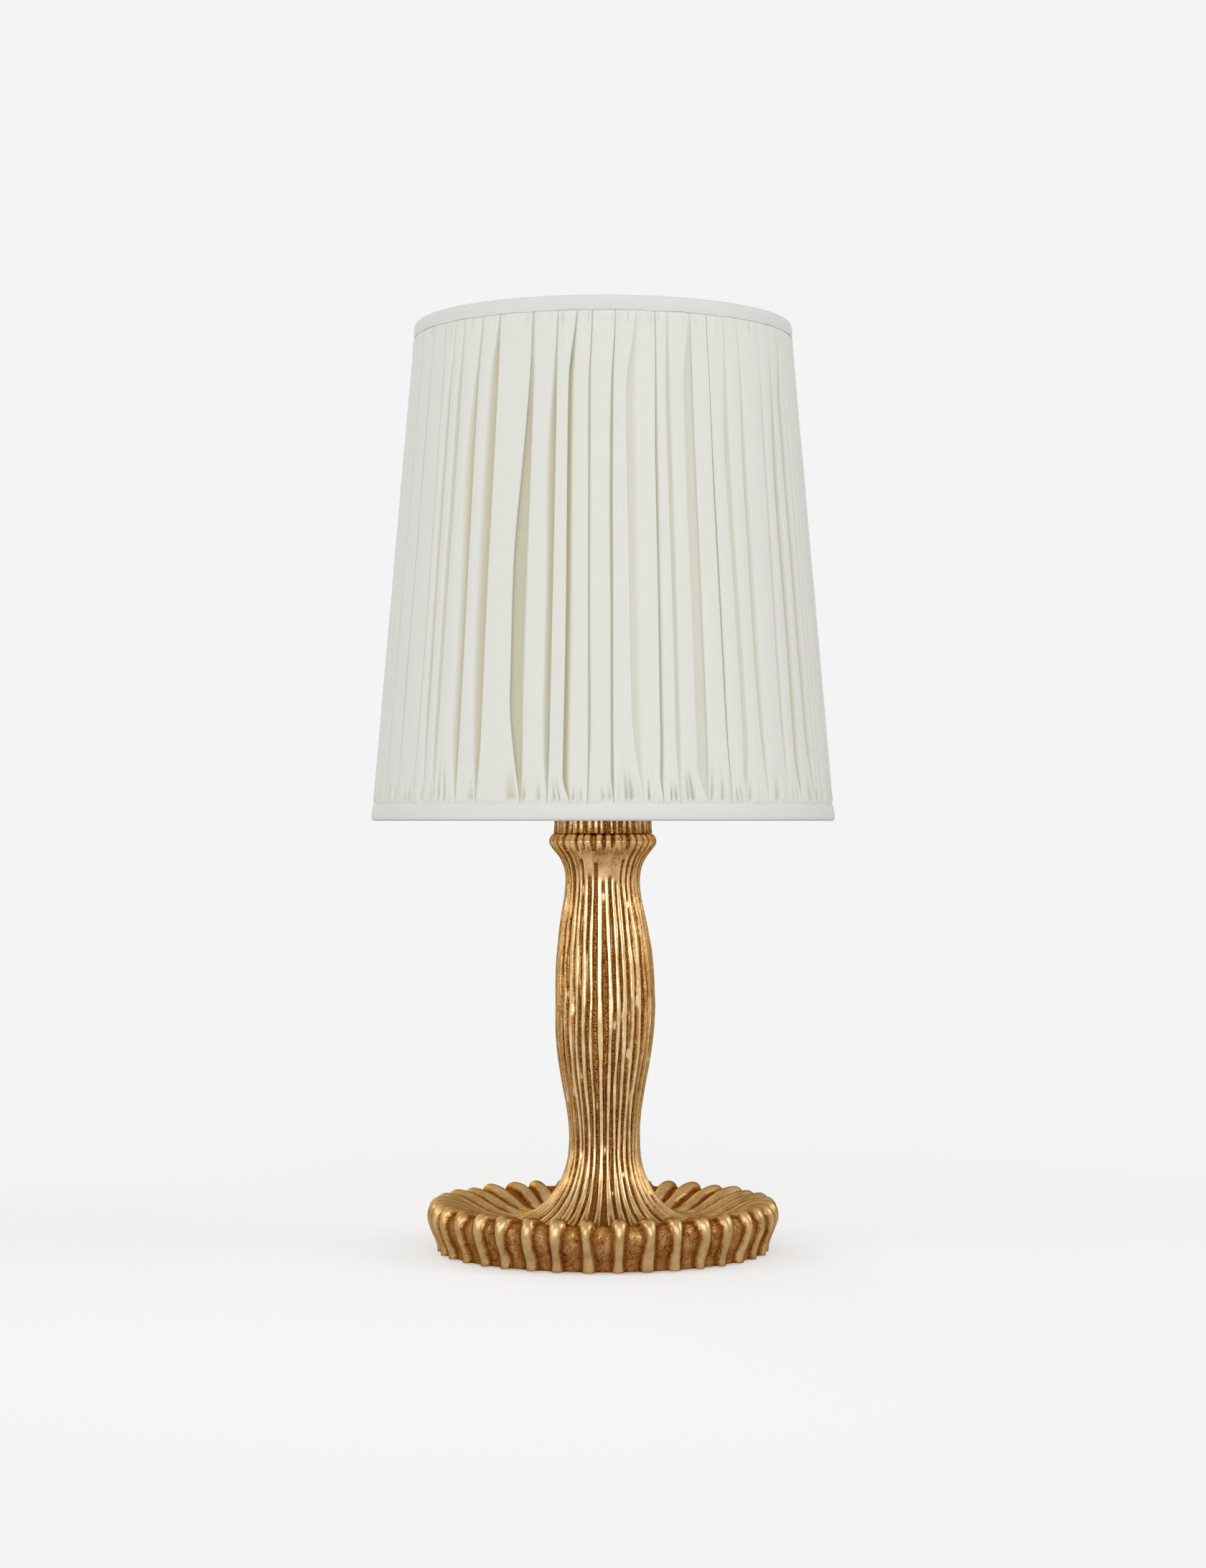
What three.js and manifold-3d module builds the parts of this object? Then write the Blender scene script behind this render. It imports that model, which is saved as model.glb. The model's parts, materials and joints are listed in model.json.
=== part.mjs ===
// A cordless table lamp: a gilded, reeded resin stem and dished foot, a rechargeable light
// module that stands in a reeded cup on the stem, and a gathered fabric shade that hangs from
// a wire spider on the module's post. Millimetres, +Z up, the lamp's axis on Z and the table
// at Z = 0. The rear of the lamp, with its charging port, faces +Y.
import * as THREE from 'three';
import { mergeVertices } from 'three/addons/utils/BufferGeometryUtils.js';
import Module from 'manifold-3d';

const wasm = await Module();
wasm.setup();

// Gap between round pieces that nest, and the overlap that a cutter needs to cut cleanly.
const CLEARANCE = 0.3;
const CUT_PAST = 1;

// Reeded casting, measured on the crests of its ribs from the table upwards.
const RIB_COUNT = 36;
const TOE_LIFT = 0.5;
const TOE_RADIUS = 54.7;
const RIM_RADIUS = 58;
const RIM_HEIGHT = 12.2;
const CREST_RADIUS = 54;
const CREST_HEIGHT = 17.5;
const DISH_RADIUS = 33;
const DISH_HEIGHT = 10.8;
const WAIST_RADIUS = 11.75;
const WAIST_HEIGHT = 36;
const BELLY_RADIUS = 16.6;
const BELLY_HEIGHT = 82;
const THROAT_RADIUS = 12.35;
const THROAT_HEIGHT = 121.8;
const COLLAR_RADIUS = 17.9;
const COLLAR_HEIGHT = 134.8;
const CASTING_HEIGHT = 137.5;
const CASTING_TOP_RADIUS = 15.9;

// How far the curves between those sizes run straight on from each end, as a share of the height
// or radius that the curve covers.
const WALL_HANDLE = 0.33;
const RIM_HANDLE = 0.5;
const DISH_HANDLE = 0.4;
const FLARE_FOOT_HANDLE = 0.65;
const FLARE_TOP_HANDLE = 0.5;
const WAIST_HANDLE = 0.35;
const BELLY_HANDLE = 0.5;
const BELLY_TOP_HANDLE = 0.6;
const THROAT_HANDLE = 0.2;
const THROAT_TOP_HANDLE = 0.7;
const BROW_HANDLE = 0.5;

// How deep the grooves are, and how much of a rib's pitch the rib takes.
const STEM_RIB_DEPTH = 0.9;
const COLLAR_RIB_DEPTH = 0.7;
const DISH_RIB_DEPTH = 1.5;
const RIM_RIB_DEPTH = 2.3;
const STEM_RIB_SHARE = 0.8;
const DISH_RIB_SHARE = 0.62;
const RIM_RIB_SHARE = 0.56;
const WALL_RIB_SHARE = 0.44;

// Underside of the foot: felt, cover, ballast and the pocket that they close.
const FELT_RADIUS = 48.7;
const FELT_THICKNESS = 1.5;
const COVER_RADIUS = 49.2;
const COVER_THICKNESS = 2;
const POCKET_RADIUS = 43.5;
const BALLAST_THICKNESS = 3.4;
const BALLAST_BORE = 14;
const COVER_SCREWS = 3;
const SCREW_CIRCLE = 46.2;
const SCREW_RADIUS = 1.2;
const SCREW_LENGTH = 7;
const SCREW_HEAD_RADIUS = 2.3;
const SCREW_HEAD_HEIGHT = 1;

// Threaded tube that ties foot, stem, cup and module together, with its nuts and washer.
const ROD_RADIUS = 5;
const ROD_BORE = 3.6;
const NUT_ACROSS_FLATS = 14;
const NUT_HEIGHT = 5;
const ROD_WASHER_RADIUS = 11;
const ROD_WASHER_THICKNESS = 1.2;
const WASHER_ROOM = 1.2;

// Reeded cup on top of the collar.
const CUP_RADIUS = 16.1;
const CUP_FLARE = 0.35;
const CUP_FLARE_HEIGHT = 1;
const CUP_HEIGHT = 22;
const CUP_FLOOR = 2.8;
const CUP_BORE = 14;
const CUP_RIB_COUNT = 42;
const CUP_RIB_DEPTH = 0.8;
const CUP_RIB_SHARE = 0.76;

// Light module: the canister and the battery in it.
const CANISTER_FLOOR = 1.5;
const CANISTER_WALL = 1.2;
const FLANGE_RADIUS = 17;
const FLANGE_THICKNESS = 2;
const BARREL_RADIUS = 15.5;
const CELL_RADIUS = 9.25;
const CELL_LENGTH = 65;
const CELL_NUB_RADIUS = 3.6;
const CELL_NUB_HEIGHT = 1.2;
const SLEEVE_WALL = 2.4;
const SLEEVE_SLOT = 2;
const SPRING_HEIGHT = 3;
const SPRING_WIRE = 0.4;
const SPRING_TURNS = 3;
const SPRING_FOOT_RADIUS = 6;
const SPRING_TIP_RADIUS = 3.5;
const LEAD_RADIUS = 0.6;
const ELBOW_RADIUS = 1.2;
const CONTACT_RADIUS = 7;
const CONTACT_THICKNESS = 0.6;

// Light module: charging board, port, light-emitting board and diffuser. A chip has its size and
// its place on the board, and is sunk into the board by the depth of its solder.
const BOARD_THICKNESS = 1.6;
const CHARGER_CHIP = [[4.2, 4.2, 2.2], [-6, -2]];
const GAUGE_CHIP = [[3.2, 3.2, 1], [5.5, 1.5]];
const DRIVER_CHIP = [[5.2, 3.6, 1.4], [1.5, -7.5]];
const SENSOR_CHIP = [[2.2, 1.6, 0.8], [-2.5, -9.5]];
const SOLDER = 0.01;
const BOARD_SEAT_WIDTH = 1.5;
const BAY_HEIGHT = 5;
const PORT_WIDTH = 8.94;
const PORT_HEIGHT = 3.26;
const PORT_DEPTH = 7.35;
const PORT_SHELL = 0.35;
const PORT_PROUD = 0.2;
const PORT_TONGUE = [6.7, 0.7, 5];
const CARRIER_RADIUS = 18.5;
const CARRIER_THICKNESS = 2;
const CARRIER_SPIGOT = 3;
const LED_BOARD_RADIUS = 15.5;
const LED_BOARD_BORE = 6.5;
const LED_BOARD_THICKNESS = 1;
const LED_COUNT = 6;
const LED_CIRCLE = 11.5;
const LED_SIZE = [3.5, 2.8, 0.7];
const DIFFUSER_WALL = 2;
const DIFFUSER_HEIGHT = 48;
const DIFFUSER_CROWN = 11;

// The post above the diffuser, what hangs on it and the button in its end.
const POST_FLANGE_RADIUS = 7;
const POST_FLANGE_THICKNESS = 1.5;
const DIFFUSER_NUT_RADIUS = 8;
const DIFFUSER_NUT_HEIGHT = 3;
const POST_REACH = 7;
const SEAT_RADIUS = 8;
const SEAT_HEIGHT = 4;
const HUB_RADIUS = 11;
const HUB_THICKNESS = 1.6;
const NUT_WASHER_RADIUS = 9.5;
const NUT_WASHER_THICKNESS = 1;
const SHADE_NUT_RADIUS = 9;
const SHADE_NUT_HEIGHT = 6;
const KNURLS = 20;
const KNURL_DEPTH = 0.5;
const THREAD_SHOWN = 1;
const BUTTON_TRAVEL = 0.8;
const BUTTON_HEAD_RADIUS = 4.4;
const BUTTON_HEAD_HEIGHT = 2.6;
const BUTTON_CROWN_RADIUS = 3.5;
const BUTTON_STEM = 4;
const SWITCH_HEIGHT = 4;
const PLUNGER_RADIUS = 1.2;
const PLUNGER_LENGTH = 1.5;
const SWITCH_LEAD_RADIUS = 0.9;

// Shade, measured over its trim.
const SHADE_BOTTOM = 141.6;
const SHADE_HEIGHT = 163.4;
const SHADE_BOTTOM_RADIUS = 76.1;
const SHADE_TOP_RADIUS = 61.9;
const TRIM_THICKNESS = 1.1;
const TRIM_WIDTH = 5.2;
const FRAME_WIRE = 1.1;
const SPIDER_ARMS = 3;
const ARM_BEND = 14;
const LINER_THICKNESS = 0.6;
const CLOTH_THICKNESS = 0.6;
const PLEAT_COUNT = 64;
const PLEAT_DEPTH = 1.1;
const PLEAT_UNEVEN = 0.3;
const PLEAT_PANEL_SHARE = 0.72;
const PLEAT_FURROW_SHARE = 0.86;

// Facets of round pieces by size.
const SMALL = 16;
const ROUND = 24;
const SHADE_ROUND = 44;
const WIRE_SIDES = 5;

// Levels that follow from the sizes above.
const FELT_BOTTOM = 0;
const COVER_BOTTOM = FELT_BOTTOM + FELT_THICKNESS;
const COVER_TOP = COVER_BOTTOM + COVER_THICKNESS;
const POCKET_CEILING = COVER_TOP + BALLAST_THICKNESS;
const ROD_BOTTOM = COVER_TOP + CLEARANCE;
const ROD_WASHER_BOTTOM = ROD_BOTTOM + NUT_HEIGHT;
const BOSS_FACE = ROD_WASHER_BOTTOM + ROD_WASHER_THICKNESS;
const CUP_FLOOR_TOP = CASTING_HEIGHT + CUP_FLOOR;
const CUP_TOP = CASTING_HEIGHT + CUP_HEIGHT;
const CANISTER_FLOOR_TOP = CUP_FLOOR_TOP + CANISTER_FLOOR;
const ROD_TOP = CANISTER_FLOOR_TOP + NUT_HEIGHT;
const CELL_BOTTOM = ROD_TOP + SPRING_HEIGHT;
const CELL_TOP = CELL_BOTTOM + CELL_LENGTH;
const BOARD_BOTTOM = CELL_TOP + CELL_NUB_HEIGHT + CONTACT_THICKNESS + CLEARANCE;
const BOARD_TOP = BOARD_BOTTOM + BOARD_THICKNESS;
const SPIGOT_BOTTOM = BOARD_TOP + BAY_HEIGHT;
const BARREL_TOP = SPIGOT_BOTTOM + CARRIER_SPIGOT;
const CARRIER_TOP = BARREL_TOP + CARRIER_THICKNESS;
const DIFFUSER_TOP = CARRIER_TOP + DIFFUSER_HEIGHT;
const HUB_BOTTOM = DIFFUSER_TOP + DIFFUSER_NUT_HEIGHT + POST_REACH;
const HUB_TOP = HUB_BOTTOM + HUB_THICKNESS;
const SHADE_NUT_BOTTOM = HUB_TOP + NUT_WASHER_THICKNESS;
const POST_TOP = SHADE_NUT_BOTTOM + SHADE_NUT_HEIGHT + THREAD_SHOWN;
const BUTTON_HEAD_BOTTOM = POST_TOP + BUTTON_TRAVEL + CLEARANCE;
const SHADE_TOP = SHADE_BOTTOM + SHADE_HEIGHT;

// Radii that follow: a shaft in its hole, and a piece in its housing.
const ROD_HOLE = ROD_RADIUS + CLEARANCE;
const CANISTER_RADIUS = CUP_BORE - CLEARANCE;
const CANISTER_BORE = CANISTER_RADIUS - CANISTER_WALL;
const BAY_BORE = CANISTER_BORE + BOARD_SEAT_WIDTH;
const BOARD_RADIUS = BAY_BORE - CLEARANCE;
const SLEEVE_BORE = CELL_RADIUS + CLEARANCE;
const LEAD_CIRCLE = SLEEVE_BORE + SLEEVE_WALL / 2;
const SCREW_HOLE = SCREW_RADIUS + CLEARANCE;

// Materials.
const gildedResin = new THREE.MeshStandardMaterial({ color: 0xb98c46, roughness: 0.35, metalness: 0.85 });
const castIron = new THREE.MeshStandardMaterial({ color: 0x4a4a4c, roughness: 0.7, metalness: 0.6 });
const blackPlastic = new THREE.MeshStandardMaterial({ color: 0x1c1c1e, roughness: 0.6, metalness: 0 });
const brownFelt = new THREE.MeshStandardMaterial({ color: 0x4b382a, roughness: 1, metalness: 0 });
const zincSteel = new THREE.MeshStandardMaterial({ color: 0xb4b6b8, roughness: 0.4, metalness: 1 });
const satinBrass = new THREE.MeshStandardMaterial({ color: 0xc9a35a, roughness: 0.3, metalness: 1 });
const cellWrap = new THREE.MeshStandardMaterial({ color: 0x2f6fa8, roughness: 0.4, metalness: 0 });
const whitePlastic = new THREE.MeshStandardMaterial({ color: 0xe8e8e4, roughness: 0.5, metalness: 0 });
const boardGreen = new THREE.MeshStandardMaterial({ color: 0x1e5a38, roughness: 0.5, metalness: 0 });
const aluminium = new THREE.MeshStandardMaterial({ color: 0xc4c6c8, roughness: 0.45, metalness: 1 });
const opalPlastic = new THREE.MeshStandardMaterial({ color: 0xf2f0e8, roughness: 0.4, metalness: 0 });
const redLead = new THREE.MeshStandardMaterial({ color: 0xa8201c, roughness: 0.5, metalness: 0 });
const whiteWire = new THREE.MeshStandardMaterial({ color: 0xe6e6e2, roughness: 0.45, metalness: 0.2 });
const styrene = new THREE.MeshStandardMaterial({ color: 0xf1efe8, roughness: 0.6, metalness: 0 });
const shadeCloth = new THREE.MeshStandardMaterial({ color: 0xe6e7df, roughness: 0.9, metalness: 0 });

// A closed mesh as a solid that can be cut and joined.
function solid(geometry) {
  const bare = geometry.clone();
  bare.deleteAttribute('normal');
  bare.deleteAttribute('uv');
  const merged = mergeVertices(bare, 1e-4);
  return new wasm.Manifold(new wasm.Mesh({
    numProp: 3,
    vertProperties: merged.attributes.position.array,
    triVerts: new Uint32Array(merged.index.array),
  }));
}

// A solid as the geometry of a mesh.
function geometryOf(body) {
  const mesh = body.getMesh();
  const geometry = new THREE.BufferGeometry();
  geometry.setAttribute('position', new THREE.BufferAttribute(new Float32Array(mesh.vertProperties), 3));
  geometry.setIndex(new THREE.BufferAttribute(new Uint32Array(mesh.triVerts), 1));
  geometry.computeVertexNormals();
  return geometry;
}

// A solid of revolution about Z. The profile's [radius, height] points run anticlockwise, from
// the axis back to the axis, or round a closed ring.
function revolve(profile, segments = ROUND) {
  const onAxis = profile[0][0] === 0;
  const closed = onAxis ? profile : [...profile, profile[0]];
  const geometry = new THREE.LatheGeometry(closed.map(([r, z]) => new THREE.Vector2(r, z)), segments);
  return geometry.rotateX(Math.PI / 2);
}

// A disc, or a ring where it has a bore, between two levels.
function disc(radius, bottom, top, bore = 0, segments = ROUND) {
  return revolve([[bore, bottom], [radius, bottom], [radius, top], [bore, top]], segments);
}

// A box by its middle and size.
function block(size, middle) {
  return new THREE.BoxGeometry(...size).translate(...middle);
}

// A prism of a flat outline, standing from one level to another.
function prism(shape, bottom, top, curveSegments = SMALL / 2) {
  const settings = { depth: top - bottom, bevelEnabled: false, curveSegments };
  return new THREE.ExtrudeGeometry(shape, settings).translate(0, 0, bottom);
}

// A wire of round section along a curve.
function wire(curve, radius, steps, sides = 8) {
  const section = new THREE.Shape();
  for (let i = 0; i < sides; i++) {
    const angle = (2 * Math.PI * i) / sides;
    const point = [radius * Math.cos(angle), radius * Math.sin(angle)];
    if (i) section.lineTo(...point);
    else section.moveTo(...point);
  }
  return new THREE.ExtrudeGeometry(section, { steps, extrudePath: curve, bevelEnabled: false });
}

// A geometry turned about Z.
function turned(geometry, angle) {
  return geometry.clone().rotateZ(angle);
}

// A hexagon nut between two levels on the threaded tube.
function hexNut(bottom) {
  const shape = new THREE.Shape();
  const corner = NUT_ACROSS_FLATS / Math.sqrt(3);
  for (let i = 0; i < 6; i++) {
    const angle = (Math.PI / 3) * i;
    const point = [corner * Math.cos(angle), corner * Math.sin(angle)];
    if (i) shape.lineTo(...point);
    else shape.moveTo(...point);
  }
  shape.holes.push(new THREE.Path().absarc(0, 0, ROD_HOLE, 0, 2 * Math.PI, true));
  return prism(shape, bottom, bottom + NUT_HEIGHT);
}

// A round nut with a knurled edge.
function knurledNut(radius, bottom, height, bore) {
  const shape = new THREE.Shape();
  for (let i = 0; i < 2 * KNURLS; i++) {
    const angle = (Math.PI * i) / KNURLS;
    const reach = i % 2 ? radius - KNURL_DEPTH : radius;
    const point = [reach * Math.cos(angle), reach * Math.sin(angle)];
    if (i) shape.lineTo(...point);
    else shape.moveTo(...point);
  }
  shape.holes.push(new THREE.Path().absarc(0, 0, bore, 0, 2 * Math.PI, true));
  return prism(shape, bottom, bottom + height);
}

// A closed body whose sections are rings of equally many points, from its lowest ring up. Each
// ring's points run anticlockwise seen from above, and each end is closed to a point on the axis.
function stackedRings(rings) {
  const count = rings[0].length;
  const positions = rings.flat().flat();
  const levels = [rings[0][0][2], rings.at(-1)[0][2]];
  const ends = levels.map((level, i) => {
    positions.push(0, 0, level);
    return rings.length * count + i;
  });
  const index = [];
  for (let k = 0; k < rings.length; k++) {
    for (let i = 0; i < count; i++) {
      const here = k * count + i;
      const next = k * count + ((i + 1) % count);
      if (k === 0) index.push(ends[0], next, here);
      if (k === rings.length - 1) index.push(ends[1], here, next);
      else index.push(here, next, here + count, next, next + count, here + count);
    }
  }
  const geometry = new THREE.BufferGeometry();
  geometry.setAttribute('position', new THREE.BufferAttribute(new Float32Array(positions), 3));
  geometry.setIndex(index);
  return geometry;
}

// One rib's section across its pitch: how far from the rib's middle, as a share of half its
// width, and how much of its height it has there.
const RIB_SECTION = [[-1, 0], [-0.5, 1], [0.5, 1], [1, 0]];

// The ring of points where the ribbed surface passes one station of its outline. A station has
// the crest's radius and height, the outward normal there, the groove's depth and the rib's share
// of its pitch.
function ribbedRing({ crest, normal, depth, share }, ribs) {
  const pitch = (2 * Math.PI) / ribs;
  const ring = [];
  for (let rib = 0; rib < ribs; rib++) {
    for (const [across, rise] of RIB_SECTION) {
      const angle = pitch * (rib + 0.5 + (across * share) / 2);
      const sunk = depth * (1 - rise);
      const radius = crest.x - sunk * normal.x;
      const height = crest.y - sunk * normal.y;
      ring.push([radius * Math.cos(angle), radius * Math.sin(angle), height]);
    }
  }
  return ring;
}

// Stations along one stretch of the crest's outline, which runs from the foot upwards. The
// groove's depth and the rib's share blend from one end of the stretch to the other.
function stretch(curve, steps, depths, shares) {
  const stations = [];
  for (let i = 0; i <= steps; i++) {
    const t = i / steps;
    const tangent = curve.getTangent(t);
    stations.push({
      crest: curve.getPoint(t),
      normal: new THREE.Vector2(tangent.y, -tangent.x),
      depth: THREE.MathUtils.lerp(...depths, t),
      share: THREE.MathUtils.lerp(...shares, t),
    });
  }
  return stations;
}

// A curve in the outline's plane from one [radius, height] to another, with its two handles.
function bend(from, fromHandle, toHandle, to) {
  return new THREE.CubicBezierCurve(...[from, fromHandle, toHandle, to].map((p) => new THREE.Vector2(...p)));
}

// Foot, stem and collar as one casting. Its ribs run unbroken from the toe, over the rim, down
// into the dish, up the stem and over the collar.
function castingStations() {
  const wallBow = (RIM_HEIGHT - TOE_LIFT) * WALL_HANDLE;
  const rimRound = (CREST_HEIGHT - RIM_HEIGHT) * RIM_HANDLE;
  const dishRun = (CREST_RADIUS - DISH_RADIUS) * DISH_HANDLE;
  const flareRise = (WAIST_HEIGHT - DISH_HEIGHT) * FLARE_TOP_HANDLE;
  const flareRun = (DISH_RADIUS - WAIST_RADIUS) * FLARE_FOOT_HANDLE;
  const swell = BELLY_HEIGHT - WAIST_HEIGHT;
  const taper = THROAT_HEIGHT - BELLY_HEIGHT;
  const throatRise = (COLLAR_HEIGHT - THROAT_HEIGHT) * THROAT_TOP_HANDLE;
  const bead = CASTING_HEIGHT - COLLAR_HEIGHT;
  const browRun = (COLLAR_RADIUS - CASTING_TOP_RADIUS) * BROW_HANDLE;
  const toe = bend([TOE_RADIUS, TOE_LIFT], [TOE_RADIUS, TOE_LIFT + wallBow],
    [RIM_RADIUS, RIM_HEIGHT - wallBow], [RIM_RADIUS, RIM_HEIGHT]);
  const rim = bend([RIM_RADIUS, RIM_HEIGHT], [RIM_RADIUS, RIM_HEIGHT + rimRound],
    [CREST_RADIUS + rimRound, CREST_HEIGHT], [CREST_RADIUS, CREST_HEIGHT]);
  const dish = bend([CREST_RADIUS, CREST_HEIGHT], [CREST_RADIUS - dishRun, CREST_HEIGHT],
    [DISH_RADIUS + dishRun, DISH_HEIGHT], [DISH_RADIUS, DISH_HEIGHT]);
  const flare = bend([DISH_RADIUS, DISH_HEIGHT], [DISH_RADIUS - flareRun, DISH_HEIGHT],
    [WAIST_RADIUS, WAIST_HEIGHT - flareRise], [WAIST_RADIUS, WAIST_HEIGHT]);
  const rise = bend([WAIST_RADIUS, WAIST_HEIGHT], [WAIST_RADIUS, WAIST_HEIGHT + swell * WAIST_HANDLE],
    [BELLY_RADIUS, BELLY_HEIGHT - swell * BELLY_HANDLE], [BELLY_RADIUS, BELLY_HEIGHT]);
  const fall = bend([BELLY_RADIUS, BELLY_HEIGHT], [BELLY_RADIUS, BELLY_HEIGHT + taper * BELLY_TOP_HANDLE],
    [THROAT_RADIUS, THROAT_HEIGHT - taper * THROAT_HANDLE], [THROAT_RADIUS, THROAT_HEIGHT]);
  const neck = bend([THROAT_RADIUS, THROAT_HEIGHT], [THROAT_RADIUS, THROAT_HEIGHT + throatRise],
    [COLLAR_RADIUS, COLLAR_HEIGHT - bead], [COLLAR_RADIUS, COLLAR_HEIGHT]);
  const brow = bend([COLLAR_RADIUS, COLLAR_HEIGHT], [COLLAR_RADIUS, COLLAR_HEIGHT + bead * BROW_HANDLE],
    [CASTING_TOP_RADIUS + browRun, CASTING_HEIGHT], [CASTING_TOP_RADIUS, CASTING_HEIGHT]);
  const stretches = [
    stretch(toe, 2, [RIM_RIB_DEPTH, RIM_RIB_DEPTH], [RIM_RIB_SHARE, WALL_RIB_SHARE]),
    stretch(rim, 3, [RIM_RIB_DEPTH, RIM_RIB_DEPTH], [WALL_RIB_SHARE, RIM_RIB_SHARE]),
    stretch(dish, 2, [RIM_RIB_DEPTH, DISH_RIB_DEPTH], [RIM_RIB_SHARE, DISH_RIB_SHARE]),
    stretch(flare, 4, [DISH_RIB_DEPTH, STEM_RIB_DEPTH], [DISH_RIB_SHARE, STEM_RIB_SHARE]),
    stretch(rise, 2, [STEM_RIB_DEPTH, STEM_RIB_DEPTH], [STEM_RIB_SHARE, STEM_RIB_SHARE]),
    stretch(fall, 2, [STEM_RIB_DEPTH, STEM_RIB_DEPTH], [STEM_RIB_SHARE, STEM_RIB_SHARE]),
    stretch(neck, 3, [STEM_RIB_DEPTH, COLLAR_RIB_DEPTH], [STEM_RIB_SHARE, STEM_RIB_SHARE]),
    stretch(brow, 2, [COLLAR_RIB_DEPTH, COLLAR_RIB_DEPTH], [STEM_RIB_SHARE, STEM_RIB_SHARE]),
  ];
  const stations = stretches.flatMap((part, i) => (i ? part.slice(1) : part));
  for (const end of [stations[0], stations.at(-1)]) end.normal = new THREE.Vector2(1, 0);
  return stations;
}

function screwAngles() {
  return Array.from({ length: COVER_SCREWS }, (_, i) => Math.PI / 2 + (2 * Math.PI * i) / COVER_SCREWS);
}

// A piece made at the screw circle on +X, turned to each screw's place.
function atScrews(geometry) {
  return screwAngles().map((angle) => turned(geometry, angle));
}

function makeCasting() {
  const recess = COVER_RADIUS + CLEARANCE;
  const washerRoom = ROD_WASHER_RADIUS + WASHER_ROOM;
  const hollow = revolve([
    [0, FELT_BOTTOM - CUT_PAST],
    [recess, FELT_BOTTOM - CUT_PAST],
    [recess, COVER_TOP],
    [POCKET_RADIUS, COVER_TOP],
    [POCKET_RADIUS, POCKET_CEILING],
    [washerRoom, POCKET_CEILING],
    [washerRoom, BOSS_FACE],
    [ROD_HOLE, BOSS_FACE],
    [ROD_HOLE, CASTING_HEIGHT + CUT_PAST],
    [0, CASTING_HEIGHT + CUT_PAST],
  ], ROUND + SMALL);
  const rings = castingStations().map((station) => ribbedRing(station, RIB_COUNT));
  let body = solid(stackedRings(rings)).subtract(solid(hollow));
  const screwBottom = COVER_BOTTOM + SCREW_HEAD_HEIGHT;
  const hole = disc(SCREW_HOLE, COVER_TOP - CUT_PAST, screwBottom + SCREW_LENGTH + CLEARANCE, 0, SMALL / 2)
    .translate(SCREW_CIRCLE, 0, 0);
  for (const cut of atScrews(hole)) body = body.subtract(solid(cut));
  return geometryOf(body);
}

function makeFelt() {
  return disc(FELT_RADIUS, FELT_BOTTOM, COVER_BOTTOM, 0, ROUND + SMALL);
}

function makeCover() {
  let body = solid(disc(COVER_RADIUS, COVER_BOTTOM, COVER_TOP, 0, ROUND + SMALL));
  const hole = solid(disc(SCREW_HOLE, COVER_BOTTOM - CUT_PAST, COVER_TOP + CUT_PAST, 0, SMALL / 2));
  const sink = solid(disc(SCREW_HEAD_RADIUS + CLEARANCE, COVER_BOTTOM - CUT_PAST,
    COVER_BOTTOM + SCREW_HEAD_HEIGHT, 0, SMALL / 2));
  const both = geometryOf(hole.add(sink)).translate(SCREW_CIRCLE, 0, 0);
  for (const cut of atScrews(both)) body = body.subtract(solid(cut));
  return geometryOf(body);
}

function makeScrew(angle) {
  const top = COVER_BOTTOM + SCREW_HEAD_HEIGHT;
  const screw = revolve([
    [0, COVER_BOTTOM],
    [SCREW_HEAD_RADIUS, COVER_BOTTOM],
    [SCREW_HEAD_RADIUS, top],
    [SCREW_RADIUS, top],
    [SCREW_RADIUS, top + SCREW_LENGTH - SCREW_RADIUS],
    [0, top + SCREW_LENGTH],
  ], SMALL / 2);
  return screw.translate(SCREW_CIRCLE, 0, 0).rotateZ(angle);
}

function makeBallast() {
  return disc(POCKET_RADIUS - CLEARANCE, COVER_TOP, POCKET_CEILING, BALLAST_BORE, ROUND + SMALL);
}

function makeRod() {
  return disc(ROD_RADIUS, ROD_BOTTOM, ROD_TOP, ROD_BORE, SMALL);
}

function makeRodWasher() {
  return disc(ROD_WASHER_RADIUS, ROD_WASHER_BOTTOM, BOSS_FACE, ROD_HOLE, SMALL);
}

// The reeded cup, which flares a little at its foot. Its ribs are finer than the collar's and don't
// line up with them. It is bored for the canister, and its floor is what the threaded tube clamps
// to the collar.
function makeCup() {
  const upright = (radius, height) => ({
    crest: new THREE.Vector2(radius, height),
    normal: new THREE.Vector2(1, 0),
    depth: CUP_RIB_DEPTH,
    share: CUP_RIB_SHARE,
  });
  const stations = [
    upright(CUP_RADIUS + CUP_FLARE, CASTING_HEIGHT),
    upright(CUP_RADIUS, CASTING_HEIGHT + CUP_FLARE_HEIGHT),
    upright(CUP_RADIUS, CUP_TOP),
  ];
  const rings = stations.map((station) => ribbedRing(station, CUP_RIB_COUNT));
  const bore = revolve([[0, CASTING_HEIGHT - CUT_PAST], [ROD_HOLE, CASTING_HEIGHT - CUT_PAST],
    [ROD_HOLE, CUP_FLOOR_TOP], [CUP_BORE, CUP_FLOOR_TOP], [CUP_BORE, CUP_TOP + CUT_PAST],
    [0, CUP_TOP + CUT_PAST]]);
  return geometryOf(solid(stackedRings(rings)).subtract(solid(bore)));
}

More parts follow.
